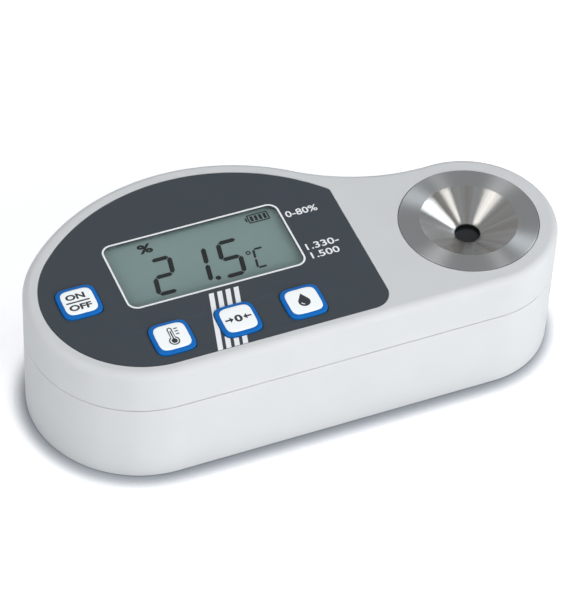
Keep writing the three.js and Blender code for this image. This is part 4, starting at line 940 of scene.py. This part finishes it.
stripe_tree, given = new_tree(
    "leaning_stripes", {"Stripes": "Int", "Pitch": "Vector", "Start": "Vector", "Bar": "Object"}
)
line = {"Count": given["Stripes"], "Start Location": given["Start"], "Offset": given["Pitch"]}
repeated(stripe_tree, given, "Bar", add(stripe_tree, "MeshLine", line, mode="OFFSET")["Mesh"])
fall = STRIPE_FRONT - STRIPE_TOP
lean = STRIPE_LEAN * fall
bar = plate("bar", [[(0, 0), (lean, fall), (STRIPE_WIDTH + lean, fall), (STRIPE_WIDTH, 0)]], 0, INK)
stripe_values = {
    "Stripes": STRIPES, "Pitch": (STRIPE_PITCH * MM, 0, 0), "Bar": bar, "Finish": white_print,
    "Start": ((window.x + STRIPE_FROM_WINDOW) * MM, STRIPE_TOP * MM, ink_bottom * MM),
}
stripes = grown("stripes", bpy.data.meshes.new("empty"), stripe_tree, stripe_values)
bpy.data.objects.remove(bar)
key_hole = prism(squircle(key_places["calibrate"], key_hole_size + 0.1), ink_bottom - 1, ink_bottom + 1)
stripes = worked(stripes, "stripes", ("DIFFERENCE", [key_hole]))
piece(joined("overlay_print", [frame_line, stripes] + figures), white_print, "casing")

# %% [markdown]
# ## The display
# The display is glass with dark segments under a clear window. Each figure has seven bars with
# mitred ends that lean a little. A bar is drawn once as a six-sided outline between two points,
# and a table of the lit bars makes the figures.

# %% Draw seven-segment figures
BAR_WIDTH, BAR_GAP, LEAN = 1.12, 0.1, 0.18
LIT = {"1": "bc", "2": "abged", "5": "afgcd", "C": "afed"}


def segment(start, end, width):
    """A mitred bar between two points of a figure's grid."""
    a, b = Vector(start), Vector(end)
    along = (b - a).normalized()
    across = Vector((-along.y, along.x)) * width / 2
    a, b = a + along * BAR_GAP, b - along * BAR_GAP
    tip = along * width / 2
    return [a, a + tip + across, b - tip + across, b, b - tip - across, a + tip - across]


def figure(sign, origin, wide, tall, width=BAR_WIDTH):
    w, h = (wide - width) / 2, (tall - width) / 2
    grid = {
        "a": ((-w, h), (w, h)), "g": ((-w, 0), (w, 0)), "d": ((-w, -h), (w, -h)),
        "b": ((w, h), (w, 0)), "c": ((w, 0), (w, -h)), "f": ((-w, h), (-w, 0)), "e": ((-w, 0), (-w, -h)),
    }
    bars = [segment(*grid[letter], width) for letter in LIT[sign]]
    return [[Vector((origin[0] + p.x + LEAN * p.y, origin[1] + p.y)) for p in bar] for bar in bars]


print("bars of a five:", len(figure("5", (0, 0), 5.4, 11.2)))

# %% Print the display
MARK, DIGIT_HEIGHT, DIGIT_Y = 0.03, 11.2, -1.9
UNIT_X, UNIT_Y, UNIT_HEIGHT = -12.7, 6, 2.6


def battery_sign(left_end=13.5, y=7.775, length=5.0, height=2.65, line=0.32):
    """An outline with a pole at its left and four bars in it."""
    middle = (left_end + length / 2, y)
    outer = rounded_rectangle(middle, length, height, 0.3)
    inner = rounded_rectangle(middle, length - 2 * line, height - 2 * line, 0.1)
    pole = rounded_rectangle((left_end - 0.35, y), 0.4, 1.2, 0.1)
    return [outer, inner, pole] + [
        rounded_rectangle((left_end + 0.95 + i * 1.04, y), 0.68, 1.6, 0.08) for i in range(4)
    ]


def display_marks():
    """Places are measured from the middle of the window."""
    bars = []
    for sign, x, wide in (("2", -10.0, 5.3), ("1", -1.75, 4.7), ("5", 5.75, 5.4)):
        bars += figure(sign, (x, DIGIT_Y), wide, DIGIT_HEIGHT)
    bars += figure("C", (11.85, -3.95), 2.8, 6.1, 0.55)
    bars += [circle((0.9, -6.6), 0.62, 32), circle((9.8, -1.8), 0.6, 32), circle((9.8, -1.8), 0.3, 32)]
    return [[(window.x + p[0], window.y + p[1]) for p in outline] for outline in bars + battery_sign()]


mark_bottom = lcd_top - 0.01
marks = plate("display_marks", display_marks(), mark_bottom, mark_bottom + MARK)
unit_place = (window.x + UNIT_X, window.y + UNIT_Y)
unit = lettering("unit", "%", unit_place, UNIT_HEIGHT, mark_bottom, MARK, wide=1.3, bold=0.05)
piece(joined("display_segments", [marks, unit]), segment_ink, "casing")

# %% [markdown]
# ## The keys
# Each key is a silicone cap with a flange under the deck. Its white top stands in a sloped blue
# rim. All four have one shape, so one function moulds them, and two materials colour the rim
# and the top by the height of each face.

# %% Draw a key's cap
KEY_BOTTOM, FLANGE_TOP, FLANGE_GROW, LABEL, WHITE_ABOVE = 30.05, 30.55, 1.2, 0.02, 0.475
key_top = CASE_HEIGHT + KEY_RISE


def key_cap(name, at):
    """Levels of a width and a height: the flange, then the blue rim, then its slope and the top."""
    flange = KEY_SIZE + FLANGE_GROW
    rim = ((0, 0.16), (0.06, 0.26), (0.2, 0.33), (0.5, 0.37))
    crown = ((-0.3, 0.43), (-0.06, 0.46), (0.1, 0.51), (0.5, 0.54), (1.4, 0.56))
    levels = [(flange, KEY_BOTTOM), (flange, FLANGE_TOP), (KEY_SIZE, FLANGE_TOP)]
    levels += [(KEY_SIZE - inset, CASE_HEIGHT + rise) for inset, rise in rim]
    levels += [(KEY_TOP_SIZE - inset, CASE_HEIGHT + rise) for inset, rise in crown]
    levels += [(KEY_TOP_SIZE * 0.55, key_top - LABEL - 0.003), (0.6, key_top - LABEL)]
    cap = stack(name, [(squircle(at, size), z) for size, z in levels])

    def is_white(middle):
        return middle.z > (CASE_HEIGHT + WHITE_ABOVE) * MM

    return two_finishes(cap, key_white, key_blue, is_white, 60)


print("keys rise to %.1f mm" % key_top)

# %% Draw the marks of the keys
label_bottom = key_top - LABEL - 0.012


def flat_mark(at, outlines):
    """A print on a key, from outlines that are drawn about the key's middle."""
    placed = [[(at.x + p[0], at.y + p[1]) for p in outline] for outline in outlines]
    return plate("mark", placed, label_bottom, key_top)


def word_mark(at, text, x, y, height):
    place, thickness = (at.x + x, at.y + y), key_top - label_bottom
    return lettering("mark", text, place, height, label_bottom, thickness, 1.3, "CENTER", 0.05)


def bow(centre, radius, start, end, steps):
    """An arc between two angles in degrees."""
    angles = [start + (end - start) * i / steps for i in range(steps + 1)]
    return around(centre, radius, [math.radians(angle) for angle in angles])


def words_over_and_under(at):
    """ON and OFF over and under a bar."""
    line = rounded_rectangle((-0.25, -0.1), 5.4, 0.36, 0.16)
    words = [word_mark(at, "ON", -0.35, 0.75, 1.55), word_mark(at, "OFF", -0.2, -2.45, 1.6)]
    return [flat_mark(at, [line])] + words


def thermometer(at):
    """A tube over a bulb, with a column in it and three ticks beside it."""
    bulb, top = (0, -1.45), (0, 1.95)
    glass = bow(bulb, 1.2, 118, 422, 28) + arc(top, 0.56, 0, math.pi, 0.1)
    inside = bow(bulb, 0.92, 118, 422, 28) + arc(top, 0.3, 0, math.pi, 0.1)
    column = rounded_rectangle((0, 0.2), 0.3, 2.6, 0.14)
    ticks = [rounded_rectangle((1.35, y), 0.8, 0.28, 0.1) for y in (0.3, 1.1, 1.9)]
    return [flat_mark(at, shape) for shape in ([glass, inside], [circle(bulb, 0.66, 32)], [column], ticks)]


def zero_between_arrows(at):
    arrow = [(1.15, 0), (1.95, 0.8), (1.95, 0.2), (3.0, 0.2), (3.0, -0.2), (1.95, -0.2), (1.95, -0.8)]
    arrows = [[(side * x, y) for x, y in arrow] for side in (-1, 1)]
    return [flat_mark(at, arrows), word_mark(at, "0", 0, -0.95, 1.9)]


def drop(at):
    """A drop with a crescent of light in it."""
    middle = (0, -0.4)
    crescent = bow(middle, 0.85, 190, 260, 12) + bow(middle, 0.6, 260, 190, 12)
    return [flat_mark(at, [[(0, 2.1)] + bow(middle, 1.35, 150, 390, 24), crescent])]


key_marks = {
    "on_off": words_over_and_under,
    "temperature": thermometer,
    "calibrate": zero_between_arrows,
    "measure": drop,
}
print("marks for", len(key_marks), "keys")

# %% Mould the keys
for key_name, at in key_places.items():
    body = f"{key_name}_button"
    piece(key_cap(f"cap_{key_name}", at), None, body, [f"key_{key_name}"])
    piece(joined(f"label_{key_name}", key_marks[key_name](at)), key_ink, body)

# %% [markdown]
# ## The sample well
# The well is one turned piece of steel: a flat ring round a cone that leads to the prism. It is
# drawn as half of its section and turned round the axis, as on a lathe. The UV map runs round
# the axis, because the steel's gleam follows the turning marks.

# %% Turn the sample well
THROAT_RADIUS, POCKET_RADIUS, WELL_EDGE = 2.9, 6.9, 0.2
SENSOR_REACH, SENSOR_HOLE, SENSOR_ROOM = 8.6, 1.25, 4


def well_profile():
    """From the pocket out round the barrel and the flange, then in over the ring and down the cone."""
    profile = [(THROAT_RADIUS, pocket_top), (POCKET_RADIUS, pocket_top), (POCKET_RADIUS, barrel_bottom)]
    profile += [(BARREL_RADIUS, barrel_bottom), (BARREL_RADIUS, flange_bottom)]
    profile += [(WELL_RADIUS, flange_bottom)]
    profile += [(WELL_RADIUS - WELL_EDGE * a, well_top - WELL_EDGE * b) for a, b in quarter_round(6)]
    mouth_edge = ((0.1, 0), (0.02, 0.015), (-0.05, 0.07))
    profile += [(MOUTH_RADIUS + out, well_top - down) for out, down in mouth_edge]
    top_radius, top = profile[-1]
    slope = (throat_top - top) / (THROAT_RADIUS - top_radius)
    throat_edge = THROAT_RADIUS + 0.08
    for i in range(1, 8):
        r = top_radius + (throat_edge - top_radius) * i / 8
        profile.append((r, top + (r - top_radius) * slope))
    return profile + [(throat_edge, throat_top + 0.06), (THROAT_RADIUS, throat_top - 0.04)]


def wrap_uv(obj, centre):
    """A UV map that runs round an axis in one direction and along the profile in the other."""
    layer = obj.data.uv_layers.get("UVMap") or obj.data.uv_layers.new(name="UVMap")
    for face in obj.data.polygons:
        middle = math.atan2(face.center.y - centre.y * MM, face.center.x - centre.x * MM)
        for loop in face.loop_indices:
            co = obj.data.vertices[obj.data.loops[loop].vertex_index].co
            x, y = co.x - centre.x * MM, co.y - centre.y * MM
            turn = math.atan2(y, x) / (2 * math.pi)
            turn -= round(turn - middle / (2 * math.pi))
            layer.data[loop].uv = (turn, (math.hypot(x, y) + co.z) / (40 * MM))


def sample_well():
    body = turned("body", well_profile(), 192, well)
    hole = round_place(well, SENSOR_REACH, 135)
    hole = cylinder(hole, SENSOR_HOLE, barrel_bottom - 1, deck_bottom + SENSOR_ROOM + LOOSE_GAP, 48)
    body = smoothed(worked(body, "steel_well", ("DIFFERENCE", [hole])), 30)
    wrap_uv(body, well)
    return body


piece(sample_well(), well_steel, "casing", ["sample_well"])

# %% [markdown]
# ## The cell and its spring
# The cell is turned like the well, but lies along the casing. The spring follows a rule, so a
# tree makes it: a spiral that narrows towards the cell, with a round wire swept along it.

# %% Make the cell
def battery_cell():
    nub = [(0, 0), (1.75, 0), (1.9, 0.15), (1.9, 0.8)]
    shoulder = ((0.6, 0.8), (0.35, 0.86), (0.12, 1.0), (0, 1.3))
    flat_end = ((0, 0.5), (0.15, 0.15), (0.5, 0.02), (0.7, 0.02), (0.9, 0))
    profile = nub + [(CELL_RADIUS - inset, z) for inset, z in shoulder]
    profile += [(CELL_RADIUS - inset, CELL_LENGTH - z) for inset, z in flat_end]
    cell = turned("cell_body", profile + [(0, CELL_LENGTH)], 96)
    start = contact_plus + CONTACT_THICKNESS / 2 + LOOSE_GAP
    place = Matrix.Translation((start * MM, bay.y * MM, cell_centre * MM))
    cell.data.transform(place @ Matrix.Rotation(math.pi / 2, 4, "Y"))

    def is_jacket(middle):
        return math.hypot(middle.y - bay.y * MM, middle.z - cell_centre * MM) > (CELL_RADIUS - 0.65) * MM

    return two_finishes(cell, cell_jacket, plated_steel, is_jacket, 40)


piece(battery_cell(), None, "cell", ["battery_cell"])

# %% Wind the spring
WIRE_RADIUS, WIDE_RADIUS, NARROW_RADIUS, SPRING_SPAN, TURNS = 0.25, 3.2, 2, 3.5, 4.0


def spring_tree():
    measures = ("Wire Radius", "Wide Radius", "Narrow Radius", "Length", "Turns")
    tree, given = new_tree("narrowing_spring", {**dict.fromkeys(measures, "Float"), "Place": "Vector"})
    spiral = add(tree, "CurveSpiral", {
        "Resolution": 48, "Rotations": given["Turns"], "Height": given["Length"],
        "Start Radius": given["Wide Radius"], "End Radius": given["Narrow Radius"],
    })["Curve"]
    wire = add(tree, "CurvePrimitiveCircle", {"Resolution": 12, "Radius": given["Wire Radius"]})["Curve"]
    swept = add(tree, "CurveToMesh", {"Curve": spiral, "Profile Curve": wire, "Fill Caps": True})["Mesh"]
    turn = {"Geometry": swept, "Translation": given["Place"], "Rotation": (0, -math.pi / 2, 0)}
    laid = add(tree, "Transform", turn)["Geometry"]
    return close_tree(tree, add(tree, "SetShadeSmooth", {"Geometry": laid})["Geometry"], given)


spring_start = contact_minus - CONTACT_THICKNESS / 2 - LOOSE_GAP / 2 - WIRE_RADIUS
spring = grown("cell_spring", bpy.data.meshes.new("empty"), spring_tree(), {
    "Wire Radius": WIRE_RADIUS * MM, "Wide Radius": WIDE_RADIUS * MM, "Narrow Radius": NARROW_RADIUS * MM,
    "Length": SPRING_SPAN * MM, "Turns": TURNS,
    "Place": (spring_start * MM, bay.y * MM, cell_centre * MM), "Finish": plated_steel,
})
piece(spring, None, "casing", ["battery_spring"])

# %% [markdown]
# ## The kept solids
# The rest keeps its solid from the frame: the flat window, the display under it, the prism at the bottom
# of the well, and all that hides inside the casing. Each gets the finish of what it is made of, by the
# material slot that the record gives it, except the prism: its glass gets painted shade, as dark as the
# instrument's inside looks through it.

# %% Finish the kept solids
finish_of_slot = {
    "casing": casing_plastic, "overlay": overlay_film, "key": key_white, "window": window_clear,
    "lcd": display_grey, "black_plastic": black_plastic, "rubber": seal_rubber, "board": circuit_board,
    "steel": well_steel, "screw_steel": plated_steel, "brass": spring_brass, "cell": cell_jacket,
    "optical_glass": optical_glass, "lamp": lamp_epoxy, "ribbon": flat_cable,
}
slot_of_node = {entry["node"]: entry["material_slot"] for entry in frame["record"]["subparts"]}
for node_name, node in frame["nodes"].items():
    finish = finish_of_slot[slot_of_node[node_name]]
    if node_name.startswith("zebra"):
        finish = layered_rubber
    # The prism's glass gets painted shade instead of its slot's clear glass.
    if node_name == "prism":
        finish = dark_prism
    if not node.material_slots:
        node.data.materials.append(finish)
    for material_slot in node.material_slots:
        material_slot.material = finish
print("kept solids finished:", len(frame["nodes"]))

# %% [markdown]
# ## Floor, light and camera
# The photograph is a studio shot on white: the front wall is brightest, the deck a little less, and the
# left end least. The floor is pale, with a painted shadow close to the casing, where the casing hides the
# light, and brighter far away, so that no edge of it shows.

# %% Lay the floor
WHITE, FLOOR_PALE, FLOOR_PAINTED_SHADOW = (1, 1, 1, 1), (0.86, 0.87, 0.89, 1.0), (0.35, 0.375, 0.415, 1.0)
FLOOR_REACH, FLOOR_DROP, SHADE_REACH = 1.6, 0.0002, 6.5


def floor_finish():
    """The floor looks up, a little to the right and the back, and glows where it finds open sky; near the
    casing its colour and glow fall to a painted shadow.
    """
    material, tree, shader, where = start_material("studio_floor")
    toward = add(tree, "CombineXYZ", {"X": 0.18, "Y": 0.22, "Z": 0.96})["Vector"]
    shelter = add(tree, "AmbientOcclusion", {"Distance": SHADE_REACH * MM, "Normal": toward})["AO"]
    open_sky = ranged(tree, shelter, 0.45, 0.93, 0, 1, "SMOOTHSTEP")
    away = add(tree, "VectorMath", {0: where}, operation="LENGTH")["Value"]
    far = ranged(tree, away, 150 * MM, 700 * MM, 0.4, 1, "SMOOTHSTEP")
    seen = calculated(tree, "MULTIPLY", open_sky, far)
    seen = calculated(tree, "MULTIPLY", add(tree, "LightPath", {})["Is Camera Ray"], seen)
    glow = add(tree, "Emission", {"Color": WHITE, "Strength": seen})["Emission"]
    # Painted shadow: the colour turns to a bluish grey where ambient occlusion finds the casing, and the
    # glow fades with it.
    colour = blended(tree, open_sky, FLOOR_PAINTED_SHADOW, FLOOR_PALE)
    feed(tree, shader, {"Base Color": colour, "Roughness": 0.9, "Specular IOR Level": 0.1})
    both = add(tree, "AddShader", {0: shader.outputs["BSDF"], 1: glow})["Shader"]
    feed(tree, tree.nodes["Material Output"], {"Surface": both})
    return material


floor_mesh = bpy.data.meshes.new("floor")
floor_corners = [(x * FLOOR_REACH, y * FLOOR_REACH, -FLOOR_DROP) for x, y in CORNERS]
floor_mesh.from_pydata(floor_corners, [], [(0, 1, 2, 3)])
floor_mesh.materials.append(floor_finish())
floor = link(bpy.data.objects.new("floor", floor_mesh))
print("floor of %.1f m" % (2 * FLOOR_REACH))

# %% [markdown]
# The surroundings are a soft white that fills the shadows. The eye and glass see them as pure
# white, and mirrors see a gradient that is brightest low down, so the white of the background
# adds no light to the object.

# %% Surround the object with white
def studio_world():
    world = bpy.data.worlds.new("studio")
    world.use_nodes = True
    tree = world.node_tree
    soft = tree.nodes["Background"]
    feed(tree, soft, {"Color": (0.93, 0.96, 1.0, 1.0), "Strength": 0.4})
    up = add(tree, "SeparateXYZ", {"Vector": add(tree, "TexCoord", {})["Generated"]})["Z"]
    height = ranged(tree, up, -0.05, 0.14, 1, 0.44, "SMOOTHSTEP")
    mirrored = add(tree, "Background", {"Strength": height})["Background"]
    white = add(tree, "Background", {"Color": WHITE})["Background"]
    rays = add(tree, "LightPath", {})
    seen = calculated(tree, "MAXIMUM", rays["Is Camera Ray"], rays["Is Transmission Ray"])
    inner = {"Fac": rays["Is Glossy Ray"], 1: soft.outputs["Background"], 2: mirrored}
    outer = {"Fac": seen, 1: add(tree, "MixShader", inner)["Shader"], 2: white}
    feed(tree, tree.nodes["World Output"], {"Surface": add(tree, "MixShader", outer)["Shader"]})
    return world


bpy.context.scene.world = studio_world()
print("world:", bpy.context.scene.world.name)

# %% [markdown]
# Six area lights stand round the object. The main one is in front and a little to the right. It
# isn't seen in mirrors, because its image would fill the window, and a weak twin in its place is
# what they see instead. Smaller ones at the right, the top and over the left end make the bright
# wedges of the steel ring, and a soft one lifts the left end.

# %% Light the studio
WARM_WHITE, DAYLIGHT, LAMP_WHITE = (1.0, 0.99, 0.97), (0.90, 0.96, 1.0), (1.0, 0.99, 0.96)


def soft_light(name, azimuth, elevation, distance, width, height, watts, colour, mirrored=True):
    """An area light aimed at the object; azimuth 0 is in front and 90 at the right."""
    data = bpy.data.lights.new(name, "AREA")
    data.shape = "RECTANGLE"
    data.size = width
    data.size_y = height
    data.energy = watts
    data.color = colour
    lamp = link(bpy.data.objects.new(name, data))
    a, e = math.radians(azimuth), math.radians(elevation)
    out = Vector((math.sin(a) * math.cos(e), -math.cos(a) * math.cos(e), math.sin(e)))
    lamp.location = out * distance
    lamp.rotation_euler = out.to_track_quat("Z", "Y").to_euler()
    lamp.visible_glossy = mirrored


soft_light("front_light", 20, 24, 1.2, 1.2, 0.7, 11.8, WARM_WHITE, mirrored=False)
soft_light("front_gleam", 20, 24, 1.2, 1.2, 0.7, 3.2, WARM_WHITE)
soft_light("right_light", 97, 39, 1.2, 0.32, 0.5, 1.8, DAYLIGHT)
soft_light("top_light", 67, 61, 1.1, 0.15, 0.22, 0.42, LAMP_WHITE)
soft_light("over_light", 250, 69, 1.1, 0.42, 0.34, 1.05, (1.0, 0.98, 0.95))
soft_light("left_light", 250, 30, 1.2, 0.8, 0.6, 3.6, LAMP_WHITE, mirrored=False)

# %% [markdown]
# The camera repeats the photograph's view: a long lens, from the front left, well above the
# object and a little rolled. Its place comes from fitting the casing's outline to the photograph.

# %% Place the camera
LENS, SENSOR_WIDTH = 193.167, 36
CAMERA_PLACE, CAMERA_TURN = (-0.205275, -0.45610, 0.53958), (43.464, -2.030, -22.177)

camera_data = bpy.data.cameras.new("photo_view")
camera_data.lens = LENS
camera_data.sensor_width = SENSOR_WIDTH
camera = link(bpy.data.objects.new("photo_view", camera_data))
camera.location = CAMERA_PLACE
camera.rotation_euler = [math.radians(a) for a in CAMERA_TURN]
bpy.context.scene.camera = camera
bpy.context.scene.view_settings.view_transform = "Standard"
print("camera at", tuple(round(c, 3) for c in camera.location))
